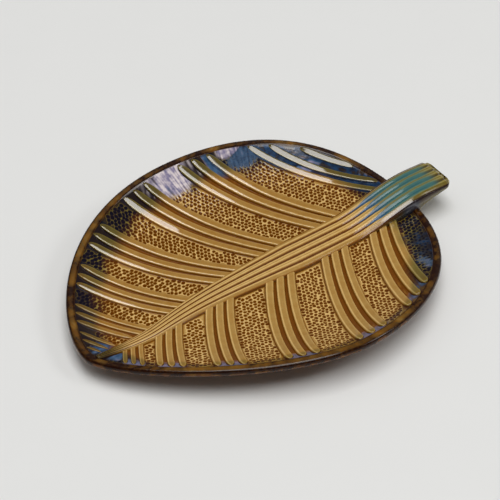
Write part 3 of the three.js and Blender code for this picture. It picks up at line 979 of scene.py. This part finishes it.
def rolled_grid(bm, rows, top_points, lower_points, place):
    """A grid rolled into a tube with closed ends.

    Place gives a point and its coat from a share along the tube, a place across it from 1 to -1, and whether
    that is on its top.
    """
    layers = coat_layers(bm)
    points = top_points + lower_points
    bmesh.ops.create_grid(bm, x_segments=rows, y_segments=points, size=1)
    for vert in bm.verts:
        step = round((vert.co.y + 1) / 2 * points) % points
        is_top = step <= top_points
        across = 1 - 2 * step / top_points
        if not is_top:
            across = 2 * (step - top_points - 1) / (lower_points - 2) - 1
        vert.co, coat = place((vert.co.x + 1) / 2, across, is_top)
        lay_coat(vert, layers, coat)
    bmesh.ops.remove_doubles(bm, verts=bm.verts, dist=MERGE_DISTANCE)
    bmesh.ops.holes_fill(bm, edges=[edge for edge in bm.edges if edge.is_boundary])
    bmesh.ops.recalc_face_normals(bm, faces=bm.faces)


# Tones of the strap. Places across a ridge are shares of its width from the nearest groove's bottom, and
# places across the strap go from its middle (0) to its edges (1).
STRAP_TONE = 0.68
POOLED_TONE = 0.6
POOLED_GROOVE = (0.25, 0.06)
POOLED_SHIFT = 0.06
STALK_CLEARING = 0.7
CLEARING = (BLADE_LENGTH, STALK_END - STALK_CORNER)
PALE_TONE = 0.24
PALE_FROM = (0.16, 0.28)
PALE_TO = (0.5, 0.38)
STRAP_EDGE_TONE = 0.5
STRAP_DARK_EDGE = (0.9, 1.0)
STRAP_TIP = (MIDRIB_START + 30 * MM, MIDRIB_START + 6 * MM)
STRAP_TIP_TONE = 0.3
STRAP_FLOW = 0.95
STRAP_FLOW_RISE = (BLADE_LENGTH - 50 * MM, BLADE_LENGTH - 10 * MM)

# Teal coat of the stalk: tongues that start blue. The border is how far past its reach the coat fades out,
# and how far short of it the coat is full.
TONGUE_START = 236 * MM
TONGUES = (TONGUE_START, TONGUE_START + 26 * MM)
TONGUE_BLUE = (TONGUE_START + 32 * MM, TONGUE_START + 12 * MM)
TONGUE_HUE = 0.5
TEAL_REACH = 0.43
TEAL_BORDER = (0.05, -0.07)
TEAL_POINT = (0, 0.06)
TEAL_RAGGEDNESS = 5 * MM
TEAL_END = (STALK_END - 2 * MM, STALK_END - 20 * MM)
TEAL_EDGE = (1.04, 0.92)

# Matt skin of the strap, and the gleam where the stalk crosses the rim: its near edge is flat and bare there.
GLEAM_RISE = (249 * MM, 254 * MM)
GLEAM_FALL = (283 * MM, 279 * MM)
GLEAM_EDGE = (-STRAP_EDGE_START, -STRAP_EDGE_START - 0.04)
EDGE_SKIN = 0.7
SKIN_EDGE = (0.72, 0.9)
STALK_SKIN = 0.75
STALK_SKIN_RISE = (TONGUE_START - 30 * MM, TONGUE_START)

# Lower side of the strap, with a painted reflection where the stalk leaves the lip: a blue glint, laid on as
# blue float.
STRAP_LOWER_COAT = Coat(tone=0.85, pit=NO_PIT, flow=0.85, float=0, hue=0.3, lip=0, teal=0.15, matt=0.6)
LOWER_GLINT = 0.9
LOWER_GLINT_RISE = (267 * MM, 273 * MM)
LOWER_GLINT_FALL = (288 * MM, 282 * MM)


def from_groove(across):
    """How far a place across the strap lies from the nearest groove, as a share of a ridge's width."""
    ridges = (across + 1) / 2 * RIDGE_COUNT
    groove = min(max(round(ridges), 1), RIDGE_COUNT - 1)
    return min(max(ridges - groove, -0.5), 0.5)


def stalk_teal(x, across, offset):
    """The stalk's teal coat: pointed tongues that start in the grooves and leave the crests bare."""
    ragged_x = x + TEAL_RAGGEDNESS * mottle(x, across * STALK_HALF_WIDTH, TEAL_MOTTLE)
    reach = TEAL_REACH * ease(*TONGUES, ragged_x)
    outer, inner = TEAL_BORDER
    tongue = ease(reach + outer, reach + inner, abs(offset)) * ease(*TEAL_POINT, reach)
    return tongue * ease(*TEAL_END, ragged_x) * ease(*TEAL_EDGE, abs(across))


def gleam_at(x):
    """Whether the stalk is crossing the rim, 0 to 1."""
    return ease(*GLEAM_RISE, x) * ease(*GLEAM_FALL, x)


def strap_edge_drop(x, across):
    """How far the strap's top falls away at its edges: rounded, but flat on the near side at the rim."""
    rounded = STRAP_EDGE_DROP * ease(STRAP_EDGE_START, 1.0, abs(across))
    flat = FLAT_EDGE_DROP * max(0.0, abs(across) - STRAP_EDGE_START) / (1 - STRAP_EDGE_START)
    return blend(rounded, flat, gleam_at(x)) if across < 0 else rounded


def strap_fall(x, across):
    """How far the strap's top lies below its crown: domed, grooved and falling away at its edges."""
    groove = ease(GROOVE_SHARE / 2, 0.0, abs(from_groove(across)))
    depth = GROOVE_DEPTH * min(1, strap_half_width(x) / STALK_HALF_WIDTH)
    return MIDRIB_EDGE_DROP * across ** 2 + depth * groove + strap_edge_drop(x, across)


def strap_lower(x, y, across):
    """Height of the strap's lower side: seated on the dish, and free and rounded under the stalk."""
    seat = dish_top(min(x, BLADE_LENGTH), y) - STRAP_SEAT
    beyond = max(0.0, x - BLADE_LENGTH) / STALK_REACH
    rounding = STALK_LOWER_ROUNDING * ease(BLADE_LENGTH - LIP_WIDTH, BLADE_LENGTH + LIP_WIDTH, x)
    low = blend(seat, strap_top(x) - STALK_END_THICKNESS, beyond)
    return low + rounding * ease(LOWER_ROUND_START, 1.0, abs(across))


def strap_tone(x, across, offset, at_tip):
    """The tone of the strap's top: pooled in the grooves, pale beside them and dark at its edges and tip."""
    pooled = ease(*POOLED_GROOVE, abs(offset + POOLED_SHIFT)) * (1 - STALK_CLEARING * ease(*CLEARING, x))
    pale = ease(*PALE_FROM, abs(offset)) * ease(*PALE_TO, abs(offset))
    tone = STRAP_TONE - POOLED_TONE * pooled + PALE_TONE * pale
    return tone - STRAP_EDGE_TONE * ease(*STRAP_DARK_EDGE, abs(across)) - STRAP_TIP_TONE * at_tip


def strap_matt(x, across, at_tip):
    """The strap's matt skin: along its edges, at its tip and over the stalk, but not in the gleam."""
    edge = EDGE_SKIN * ease(*SKIN_EDGE, abs(across)) * ease(BLADE_LENGTH, TONGUE_START, x)
    skin = max(edge, at_tip, STALK_SKIN * ease(*STALK_SKIN_RISE, x))
    return skin * (1 - gleam_at(x) * ease(*GLEAM_EDGE, across))


def strap_top_coat(x, across):
    """The glaze of the strap's top."""
    at_tip = ease(*STRAP_TIP, x)
    offset = from_groove(across)
    tone = strap_tone(x, across, offset, at_tip)
    flow = STRAP_FLOW * max(at_tip, ease(*STRAP_FLOW_RISE, x))
    teal = stalk_teal(x, across, offset)
    tongue_blue = teal * ease(*TONGUE_BLUE, x)
    return Coat(tone, NO_PIT, flow, tongue_blue, TONGUE_HUE, 0, teal, strap_matt(x, across, at_tip))


def strap_point(share, across, is_top):
    """A point of the strap a share along it and across its section, with its coat."""
    x = blend(MIDRIB_START, STALK_END, share)
    y = strap_middle(x) + across * strap_half_width(x)
    end_round = STALK_END_ROUNDING * ease(STALK_END - STALK_END_ROUND_LENGTH, STALK_END, x)
    if is_top:
        height = strap_top(x) - strap_fall(x, across) - end_round
        return Vector((x, y, height)), strap_top_coat(x, across)
    # The blue float on the lower side is a painted reflection, a glint where the stalk leaves the lip.
    patch = LOWER_GLINT * ease(*LOWER_GLINT_RISE, x) * ease(*LOWER_GLINT_FALL, x)
    return Vector((x, y, strap_lower(x, y, across) + end_round)), STRAP_LOWER_COAT._replace(float=patch)


def build_strap(material):
    """The ridged strap: midrib and stalk in one."""
    bm = bmesh.new()
    rolled_grid(bm, STRAP_ROWS, STRAP_TOP_POINTS, STRAP_LOWER_POINTS, strap_point)
    finish_piece(bm, "glazed_midrib_stalk", "midrib_stalk", material)


# Glaze of the ribs. Places across a rib go from its middle (0) to its edges (1).
FAR_RIB_TONE = 0.6
NEAR_RIB_TONE = 0.68
# Shoulders break pale on both sides; the lit one, towards the tip, is paler still with a painted highlight.
LIT_SHOULDER = 0.34
DIM_SHOULDER = 0.12
SHOULDER_FROM = (0.4, 0.62)
SHOULDER_TO = (0.86, 0.66)
RIB_EDGE_TONE = 0.46
RIB_DARK_EDGE = (0.78, 1.0)
RIB_DARKENING = 0.4
TIP_RIB_FLOW = 0.75
RIB_FLOAT_EDGE = (0.58, 0.94)
RIB_MATT_EDGE = (0.84, 0.96)
NEAR_END_MATT = (0.1, 0.6)


def rib_profile(rib, to_end, across):
    """Height of a rib's section as a share of its height: a domed crown or a shelf, and short steep sides."""
    away = abs(across)
    fall = CROWN_FALL * away ** 2
    if rib.shelf:
        planed = SHELF_FALL * max(0.0, across - rib.shelf.start)
        fall = blend(fall, planed, ease(rib.shelf.length + SHELF_FADE, rib.shelf.length, to_end))
    return (1 - fall) * ease(*RIB_SIDE, away)


def rib_tone(rib, out):
    """The tone across a rib: pale shoulders where the glaze breaks, the one towards the tip paler still with
    a painted highlight, and dark edges.
    """
    base = FAR_RIB_TONE if rib.side > 0 else NEAR_RIB_TONE
    pale = LIT_SHOULDER if rib.side * out > 0 else DIM_SHOULDER
    shoulder = ease(*SHOULDER_FROM, abs(out)) * ease(*SHOULDER_TO, abs(out))
    return base + pale * shoulder - RIB_EDGE_TONE * ease(*RIB_DARK_EDGE, abs(out))


def rib_coat(rib, place, out, into_end):
    """The glaze of a rib at a plan point, out from its middle."""
    to_lip = gap_to_lip(place.x, place.y)
    tone = rib_tone(rib, out) * blend(1.0, darkening_at(place.x, to_lip), RIB_DARKENING)
    flow = flow_at(place.x, place.y, to_lip) * blend(TIP_RIB_FLOW, 1.0, ease(*TIP_PANELS, place.x))
    depth = ease(*RIB_FLOAT_EDGE, abs(out)) if rib.side > 0 else 0.0
    caught, hue = groove_float(place.x, place.y, to_lip, depth)
    matt = GROOVE_MATT * ease(*RIB_MATT_EDGE, abs(out))
    if rib.side < 0:
        matt = max(matt, ease(*NEAR_END_MATT, into_end))
    return Coat(tone, NO_PIT, flow, caught, hue, 0, 0, matt)


def rib_point(rib, run, across, is_top):
    """A point of a rib and its coat. Rows lie closer towards its ends, and points towards its edges."""
    share = (1 - math.cos(run * math.pi)) / 2
    out = math.sin(across * math.pi / 2)
    line = rib.point(share)
    into_end = rib.into_end(share)
    fullness = math.sqrt(max(RIB_LEAST_FULLNESS, 1 - into_end ** 2))
    half_width = rib.width / 2 * fullness * (1 + RIB_WOBBLE * mottle(line.x, line.y, RIB_MOTTLE))
    place = line + rib.left(share) * out * half_width * RIB_TOE
    rise = -RIB_SINK
    if is_top:
        rise = rib.height * fullness * rib_profile(rib, rib.length * (1 - share), out) - RIB_SETTLE
    height = dish_top(place.x, place.y) + rise
    return Vector((place.x, place.y, height)), rib_coat(rib, place, out, into_end)


def build_rib(rib, material):
    """One rib of a vein."""
    bm = bmesh.new()

    def place(run, across, is_top):
        return rib_point(rib, run, across, is_top)

    rolled_grid(bm, RIB_ROWS, RIB_TOP_POINTS, RIB_LOWER_POINTS, place)
    finish_piece(bm, "glazed_" + rib.node, rib.node, material)


# Shader building.


def wire(tree, socket, value):
    """Sets an input to a value, or links it to an output."""
    if isinstance(value, bpy.types.NodeSocket):
        tree.links.new(value, socket)
    else:
        socket.default_value = value


def add_node(tree, kind, inputs=None, **settings):
    """Adds a node; inputs are values or outputs to link, settings are the node's own."""
    made = tree.nodes.new(kind)
    for name, value in settings.items():
        setattr(made, name, value)
    for key, value in (inputs or {}).items():
        wire(tree, made.inputs[key], value)
    return made


def maths(tree, operation, first, second=0.0, clamp=False):
    made = add_node(tree, "ShaderNodeMath", {0: first, 1: second}, operation=operation, use_clamp=clamp)
    return made.outputs[0]


def layer_value(tree, name):
    return add_node(tree, "ShaderNodeAttribute", attribute_name=name).outputs["Fac"]


def grain(tree, place, size, detail=2.0):
    """Uneven values from 0 to 1 with the given grain size."""
    made = add_node(tree, "ShaderNodeTexNoise", {"Vector": place, "Scale": 1 / size, "Detail": detail})
    return made.outputs["Fac"]


def soft_step(tree, value, low, high):
    """A soft step from 0 at low to 1 at high, either way round."""
    made = add_node(tree, "ShaderNodeMapRange", {"Value": value, "From Min": low, "From Max": high},
                    interpolation_type="SMOOTHSTEP")
    return made.outputs["Result"]


def swayed(tree, value, unevenness, amount):
    """A value pushed up and down by an unevenness from 0 to 1."""
    centred = maths(tree, "SUBTRACT", unevenness, 0.5)
    return maths(tree, "ADD", value, maths(tree, "MULTIPLY", centred, amount), clamp=True)


def colour_ramp(tree, value, stops):
    """A colour read from a ramp; each stop is a position and a colour."""
    made = add_node(tree, "ShaderNodeValToRGB", {"Fac": value})
    elements = made.color_ramp.elements
    while len(elements) < len(stops):
        elements.new(1.0)
    for element, (position, colour) in zip(elements, stops):
        element.position = position
        element.color = (*colour, 1)
    return made.outputs["Color"]


def colour_mix(tree, share, first, second):
    """A mix of two colours. The Mix node has its colour sockets at 6, 7 and 2, after those of other types."""
    made = add_node(tree, "ShaderNodeMix", {0: share, 6: first, 7: second}, data_type="RGBA")
    return made.outputs[2]


def new_material(name):
    material = bpy.data.materials.new(name)
    material.use_nodes = True
    material.node_tree.nodes.clear()
    return material


def close_material(tree, shader):
    add_node(tree, "ShaderNodeOutputMaterial", {"Surface": shader.outputs[0]})


# Glaze shader: grain sizes, how far they sway each value, what the stipple does to the tone, and the gloss.
CLOUD_GRAIN = 5 * MM
FLECK_GRAIN = 0.9 * MM
RIM_GRAIN = 2.5 * MM
RIPPLE_GRAIN = 9 * MM
UNEVEN_DETAIL = 3.0
CLOUD_SWAY = 0.22
FLECK_SWAY = 0.12
FLOW_SWAY = 0.3
HUE_SWAY = 0.5
RIM_SWAY = 0.5
HOLLOW = (0.9, 0.65)
HOLLOW_TONE = 0.74
# The lift on the stipple's net is glaze breaking over its crests, and partly a painted highlight.
CREST_FROM = (0.86, 1.0)
CREST_TO = (1.3, 1.1)
CREST_TONE = 0.2
RIPPLE_STRENGTH = 0.15
RIPPLE_HEIGHT = 0.5 * MM
GLAZE_IOR = 1.75
GLAZE_ROUGHNESS = 0.08
STALK_ROUGHNESS = 0.12
FLECK_ROUGHNESS = 0.08
FULL_GLOSS = 0.5
MATT_GLOSS = 0.1


def glaze_tone(tree, pit, hollow, cloud, fleck):
    """The painted tone, lifted on the stipple's net where the glaze breaks and a painted highlight lies,
    darkened in its pits and made uneven.
    """
    net = maths(tree, "MULTIPLY", soft_step(tree, pit, *CREST_FROM), soft_step(tree, pit, *CREST_TO))
    tone = maths(tree, "ADD", layer_value(tree, "tone"), maths(tree, "MULTIPLY", net, CREST_TONE))
    tone = maths(tree, "SUBTRACT", tone, maths(tree, "MULTIPLY", hollow, HOLLOW_TONE), clamp=True)
    return swayed(tree, swayed(tree, tone, cloud, CLOUD_SWAY), fleck, FLECK_SWAY)


def glaze_colour(tree, colours, tone, cloud, place):
    """The glaze's colour: its body, and over it the olive run, the teal coat, the float and the dark rim."""
    body = colour_ramp(tree, tone, (
        (0.05, colours.pooled), (0.3, colours.brown), (0.52, colours.amber), (0.75, colours.tan),
        (0.95, colours.crest)))
    run = colour_ramp(tree, tone, (
        (0.15, colours.navy), (0.45, colours.umber), (0.7, colours.olive), (0.95, colours.pale_olive)))
    stalk = colour_ramp(tree, tone, (
        (0.0, colours.deep_teal), (0.35, colours.teal), (0.85, colours.teal), (1.0, colours.pale_teal)))
    floated = colour_ramp(tree, swayed(tree, layer_value(tree, "hue"), cloud, HUE_SWAY), (
        (0.02, colours.mist_and_sheen), (0.2, colours.lilac), (0.42, colours.blue), (0.6, colours.deep_blue),
        (0.8, colours.navy)))
    rim_grain = grain(tree, place, RIM_GRAIN, UNEVEN_DETAIL)
    colour = colour_mix(tree, swayed(tree, layer_value(tree, "flow"), cloud, FLOW_SWAY), body, run)
    colour = colour_mix(tree, layer_value(tree, "teal"), colour, stalk)
    colour = colour_mix(tree, layer_value(tree, "float"), colour, floated)
    dark = swayed(tree, layer_value(tree, "lip"), rim_grain, RIM_SWAY)
    return colour_mix(tree, dark, colour, (*colours.rim, 1))


def glaze_gloss(tree, hollow):
    """The specular level: full where the glaze is clear, little where its skin is matt and in the pits."""
    matt = maths(tree, "MAXIMUM", layer_value(tree, "matt"), hollow)
    made = add_node(tree, "ShaderNodeMapRange", {"Value": matt, "To Min": FULL_GLOSS, "To Max": MATT_GLOSS})
    return made.outputs["Result"]


def glaze_material(name, colours, roughness=GLAZE_ROUGHNESS):
    """A glossy running glaze: brown in the hollows, amber on the flats, tan where it breaks over a crest."""
    material = new_material(name)
    tree = material.node_tree
    place = add_node(tree, "ShaderNodeTexCoord").outputs["Object"]
    cloud = grain(tree, place, CLOUD_GRAIN, UNEVEN_DETAIL)
    fleck = grain(tree, place, FLECK_GRAIN)
    pit = layer_value(tree, "pit")
    hollow = soft_step(tree, pit, *HOLLOW)
    tone = glaze_tone(tree, pit, hollow, cloud, fleck)
    ripple = grain(tree, place, RIPPLE_GRAIN, 0.0)
    bump = add_node(tree, "ShaderNodeBump", {
        "Strength": RIPPLE_STRENGTH, "Distance": RIPPLE_HEIGHT, "Height": ripple})
    shader = add_node(tree, "ShaderNodeBsdfPrincipled", {
        "Base Color": glaze_colour(tree, colours, tone, cloud, place),
        "Roughness": maths(tree, "ADD", maths(tree, "MULTIPLY", fleck, FLECK_ROUGHNESS), roughness),
        "IOR": GLAZE_IOR,
        "Specular IOR Level": glaze_gloss(tree, hollow),
        "Normal": bump.outputs["Normal"],
    })
    close_material(tree, shader)
    return material


# Bare clay and tabletop.
SAND_GRAIN = 0.6 * MM
SAND_DETAIL = 4.0
SAND_STRENGTH = 0.35
SAND_HEIGHT = 0.2 * MM
CLAY_ROUGHNESS = 0.85
TABLETOP_GRAIN = 40 * MM
TABLETOP_SHADE = 0.985


def clay_material(name, colours):
    """Bare fired clay: dull, grainy and speckled."""
    material = new_material(name)
    tree = material.node_tree
    place = add_node(tree, "ShaderNodeTexCoord").outputs["Object"]
    sand = grain(tree, place, SAND_GRAIN, SAND_DETAIL)
    colour = colour_ramp(tree, sand, (
        (0.3, colours.clay_dark), (0.5, colours.clay), (0.75, colours.clay_light)))
    bump = add_node(tree, "ShaderNodeBump", {
        "Strength": SAND_STRENGTH, "Distance": SAND_HEIGHT, "Height": sand})
    shader = add_node(tree, "ShaderNodeBsdfPrincipled", {
        "Base Color": colour, "Roughness": CLAY_ROUGHNESS, "Normal": bump.outputs["Normal"]})
    close_material(tree, shader)
    return material


def floor_material(colour):
    """A plain pale tabletop with a very faint grain."""
    material = new_material("pale_tabletop")
    tree = material.node_tree
    place = add_node(tree, "ShaderNodeTexCoord").outputs["Object"]
    shaded = tuple(TABLETOP_SHADE * value for value in colour)
    shade = colour_ramp(tree, grain(tree, place, TABLETOP_GRAIN), ((0.0, shaded), (1.0, tuple(colour))))
    shader = add_node(tree, "ShaderNodeBsdfDiffuse", {"Color": shade})
    close_material(tree, shader)
    return material


def colour_property(label, description, colour):
    return FloatVectorProperty(
        name=label, description=description, default=colour, subtype="COLOR", min=0, max=1)


def length_property(label, description, length):
    return FloatProperty(
        name=label, description=description, default=length, unit="LENGTH", subtype="DISTANCE", precision=4)


class StippleSettings(bpy.types.PropertyGroup):
    """Sizes of the stipple pressed into the panels."""
    pitch: length_property("Pitch", "Spacing of the pits", 3.2 * MM)
    depth: length_property("Depth", "Depth of a pit", 0.15 * MM)
    crest: length_property("Crest", "Rise of the net between the pits", 0.06 * MM)
    unevenness: FloatProperty(
        name="Unevenness", description="Shift of a pit as a share of the pitch", default=0.22, min=0, max=0.5,
        subtype="FACTOR")
    seed: IntProperty(name="Seed", description="Draw of the uneven places", default=5)


class GlazeColours(bpy.types.PropertyGroup):
    """Colours of the glaze and the bare clay."""
    pooled: colour_property("Pooled", "Glaze in the deepest hollows", paint(92, 46, 0))
    brown: colour_property("Brown", "Glaze in shallow hollows", paint(116, 66, 6))
    amber: colour_property("Amber", "Glaze on the flats", paint(150, 103, 32))
    tan: colour_property("Tan", "Thin glaze on the ribs", paint(180, 141, 75))
    crest: colour_property("Crest", "Glaze broken over an edge", paint(218, 180, 112))
    navy: colour_property("Navy", "Hollows below the lip", paint(14, 12, 26))
    umber: colour_property("Umber", "Flats below the lip", paint(52, 36, 14))
    olive: colour_property("Olive", "Ribs below the lip", paint(106, 93, 34))
    pale_olive: colour_property("Pale olive", "Edges below the lip", paint(146, 132, 74))
    # The palest float, partly a painted reflection of the soft box.
    mist_and_sheen: colour_property("Mist", "Palest float", paint(226, 214, 214))
    lilac: colour_property("Lilac", "Lilac float", paint(140, 132, 160))
    blue: colour_property("Blue", "Blue float", paint(64, 94, 126))
    deep_blue: colour_property("Deep blue", "Float in the grooves beside the stalk", paint(30, 62, 96))
    deep_teal: colour_property("Deep teal", "Stalk's grooves", paint(44, 88, 92))
    teal: colour_property("Teal", "Stalk's teal coat", paint(65, 106, 104))
    pale_teal: colour_property("Pale teal", "Stalk's ridges", paint(112, 122, 74))
    rim: colour_property("Rim", "Dark coat on the lip", paint(32, 10, 3))
    clay: colour_property("Clay", "Bare foot", paint(150, 116, 82))
    clay_dark: colour_property("Dark clay", "Specks in the bare foot", paint(98, 70, 46))
    clay_light: colour_property("Light clay", "Pale grains in the bare foot", paint(182, 150, 112))


class StageSettings(bpy.types.PropertyGroup):
    """Tabletop, light and camera."""
    tabletop: colour_property("Tabletop", "Colour of the tabletop", paint(226, 226, 224))
    key_power: FloatProperty(
        name="Key power", description="Power of the soft box overhead", default=126, unit="POWER")
    fill_power: FloatProperty(
        name="Fill power", description="Power of the broad light that no glaze reflects", default=28,
        unit="POWER")
    right_power: FloatProperty(
        name="Right power", description="Power of the soft box beside the stalk", default=30, unit="POWER")
    room_light: FloatProperty(name="Room light", description="Strength of the room's light", default=0.12)
    lens: FloatProperty(
        name="Lens", description="Focal length in millimetres", default=129.6, unit="CAMERA")
    distance: length_property("Distance", "Camera to the platter", 1.296)
    azimuth: FloatProperty(
        name="Azimuth", description="Camera's turn round the platter", default=math.radians(-36.43),
        subtype="ANGLE")
    elevation: FloatProperty(
        name="Elevation", description="Camera's height above the horizon", default=math.radians(45),
        subtype="ANGLE")


class PLATTER_OT_dish(bpy.types.Operator):
    """Model the stippled leaf dish with its lip"""
    bl_idname = "platter.dish"
    bl_label = "Leaf dish"

    def execute(self, context):
        build_dish(context.scene.platter_stipple, glaze_material("dish_glaze", context.scene.platter_glaze))
        return {"FINISHED"}


class PLATTER_OT_foot(bpy.types.Operator):
    """Model the bare foot ring"""
    bl_idname = "platter.foot"
    bl_label = "Foot ring"

    def execute(self, context):
        build_foot(clay_material("bare_clay", context.scene.platter_glaze))
        return {"FINISHED"}


class PLATTER_OT_strap(bpy.types.Operator):
    """Model the ridged strap of midrib and stalk"""
    bl_idname = "platter.strap"
    bl_label = "Midrib and stalk"

    def execute(self, context):
        build_strap(glaze_material("stalk_glaze", context.scene.platter_glaze, STALK_ROUGHNESS))
        return {"FINISHED"}


class PLATTER_OT_ribs(bpy.types.Operator):
    """Model every rib of the side veins"""
    bl_idname = "platter.ribs"
    bl_label = "Vein ribs"

    def execute(self, context):
        material = glaze_material("rib_glaze", context.scene.platter_glaze)
        for rib in RIBS:
            build_rib(rib, material)
        return {"FINISHED"}


# Stage: the tabletop, and each soft box's name, width, depth and place.
TABLETOP_CELLS = 8
TABLETOP_HALF_WIDTH = 5
SoftBox = namedtuple("SoftBox", "name width depth place")
KEY_BOX = SoftBox("key_box", 2.2, 3.4, (-0.1, -0.5, 4.0))
RIGHT_BOX = SoftBox("right_box", 1.2, 1.2, (2.4, -2.3, 3.3))
FILL_BOX = SoftBox("fill_box", 4, 4, (-1.5, 1.3, 3.6))

# Where the platter's middle falls in the picture: a leaf place and its offset from the picture's centre.
AIM_FROM_TIP = 143.4 * MM
AIM_RIGHT = -1.37 * MM
AIM_UP = 6.26 * MM
SENSOR_WIDTH_IN_MM = 36


def add_tabletop(stage):
    bm = bmesh.new()
    bmesh.ops.create_grid(
        bm, x_segments=TABLETOP_CELLS, y_segments=TABLETOP_CELLS, size=TABLETOP_HALF_WIDTH)
    mesh = bpy.data.meshes.new("tabletop")
    bm.to_mesh(mesh)
    bm.free()
    mesh.materials.append(floor_material(stage.tabletop))
    tabletop = bpy.data.objects.new("tabletop", mesh)
    bpy.context.scene.collection.objects.link(tabletop)


def add_soft_box(box, power):
    """A rectangular soft light that faces the platter."""
    light = bpy.data.lights.new(box.name, "AREA")
    light.shape = "RECTANGLE"
    light.size = box.width
    light.size_y = box.depth
    light.energy = power
    lamp = bpy.data.objects.new(box.name, light)
    lamp.location = box.place
    lamp.rotation_euler = Vector(box.place).to_track_quat("Z", "Y").to_euler()
    bpy.context.scene.collection.objects.link(lamp)
    return lamp


def light_room(stage):
    """An even pale room."""
    world = bpy.data.worlds.new("pale_room")
    bpy.context.scene.world = world
    world.use_nodes = True
    tree = world.node_tree
    tree.nodes.clear()
    room = add_node(tree, "ShaderNodeBackground", {"Color": (1, 1, 1, 1), "Strength": stage.room_light})
    add_node(tree, "ShaderNodeOutputWorld", {"Surface": room.outputs[0]})


def add_camera(stage):
    """A long-lens camera at the photograph's viewing angle."""
    azimuth, elevation = stage.azimuth, stage.elevation
    level = math.cos(elevation)
    back = Vector((math.sin(azimuth) * level, -math.cos(azimuth) * level, math.sin(elevation)))
    right = Vector((math.cos(azimuth), math.sin(azimuth), 0))
    up = back.cross(right)
    aim = Vector((TIP_X + AIM_FROM_TIP, AXIS_Y, SIDE_RIM_HEIGHT)) + right * AIM_RIGHT + up * AIM_UP
    lens = bpy.data.cameras.new("camera")
    lens.lens = stage.lens
    lens.sensor_width = SENSOR_WIDTH_IN_MM
    camera = bpy.data.objects.new("camera", lens)
    camera.location = aim + back * stage.distance
    camera.rotation_euler = back.to_track_quat("Z", "Y").to_euler()
    bpy.context.scene.collection.objects.link(camera)
    bpy.context.scene.camera = camera


class PLATTER_OT_stage(bpy.types.Operator):
    """Set the tabletop, the soft boxes and the camera"""
    bl_idname = "platter.stage"
    bl_label = "Stage"

    def execute(self, context):
        stage = context.scene.platter_stage
        context.scene.view_settings.view_transform = "Standard"
        add_tabletop(stage)
        add_soft_box(KEY_BOX, stage.key_power)
        add_soft_box(RIGHT_BOX, stage.right_power)
        fill = add_soft_box(FILL_BOX, stage.fill_power)
        fill.visible_glossy = False
        light_room(stage)
        add_camera(stage)
        return {"FINISHED"}


class PLATTER_PT_panel(bpy.types.Panel):
    """Lists the platter's pieces and settings"""
    bl_idname = "PLATTER_PT_panel"
    bl_label = "Leaf platter"
    bl_space_type = "VIEW_3D"
    bl_region_type = "UI"
    bl_category = "Platter"

    def draw(self, context):
        for operator in OPERATORS:
            self.layout.operator(operator.bl_idname)
        for settings in (context.scene.platter_stipple, context.scene.platter_glaze,
                         context.scene.platter_stage):
            for name in settings.__annotations__:
                self.layout.prop(settings, name)


SETTINGS = {
    "platter_stipple": StippleSettings,
    "platter_glaze": GlazeColours,
    "platter_stage": StageSettings,
}
OPERATORS = (PLATTER_OT_stage, PLATTER_OT_dish, PLATTER_OT_foot, PLATTER_OT_strap, PLATTER_OT_ribs)


def register():
    for settings in SETTINGS.values():
        bpy.utils.register_class(settings)
    for name, settings in SETTINGS.items():
        setattr(bpy.types.Scene, name, PointerProperty(type=settings))
    for operator in OPERATORS:
        bpy.utils.register_class(operator)
    bpy.utils.register_class(PLATTER_PT_panel)


def unregister():
    bpy.utils.unregister_class(PLATTER_PT_panel)
    for operator in OPERATORS:
        bpy.utils.unregister_class(operator)
    for name, settings in SETTINGS.items():
        delattr(bpy.types.Scene, name)
        bpy.utils.unregister_class(settings)


def main():
    register()
    bpy.ops.platter.stage()
    bpy.ops.platter.dish()
    bpy.ops.platter.foot()
    bpy.ops.platter.strap()
    bpy.ops.platter.ribs()


if __name__ == "__main__":
    main()
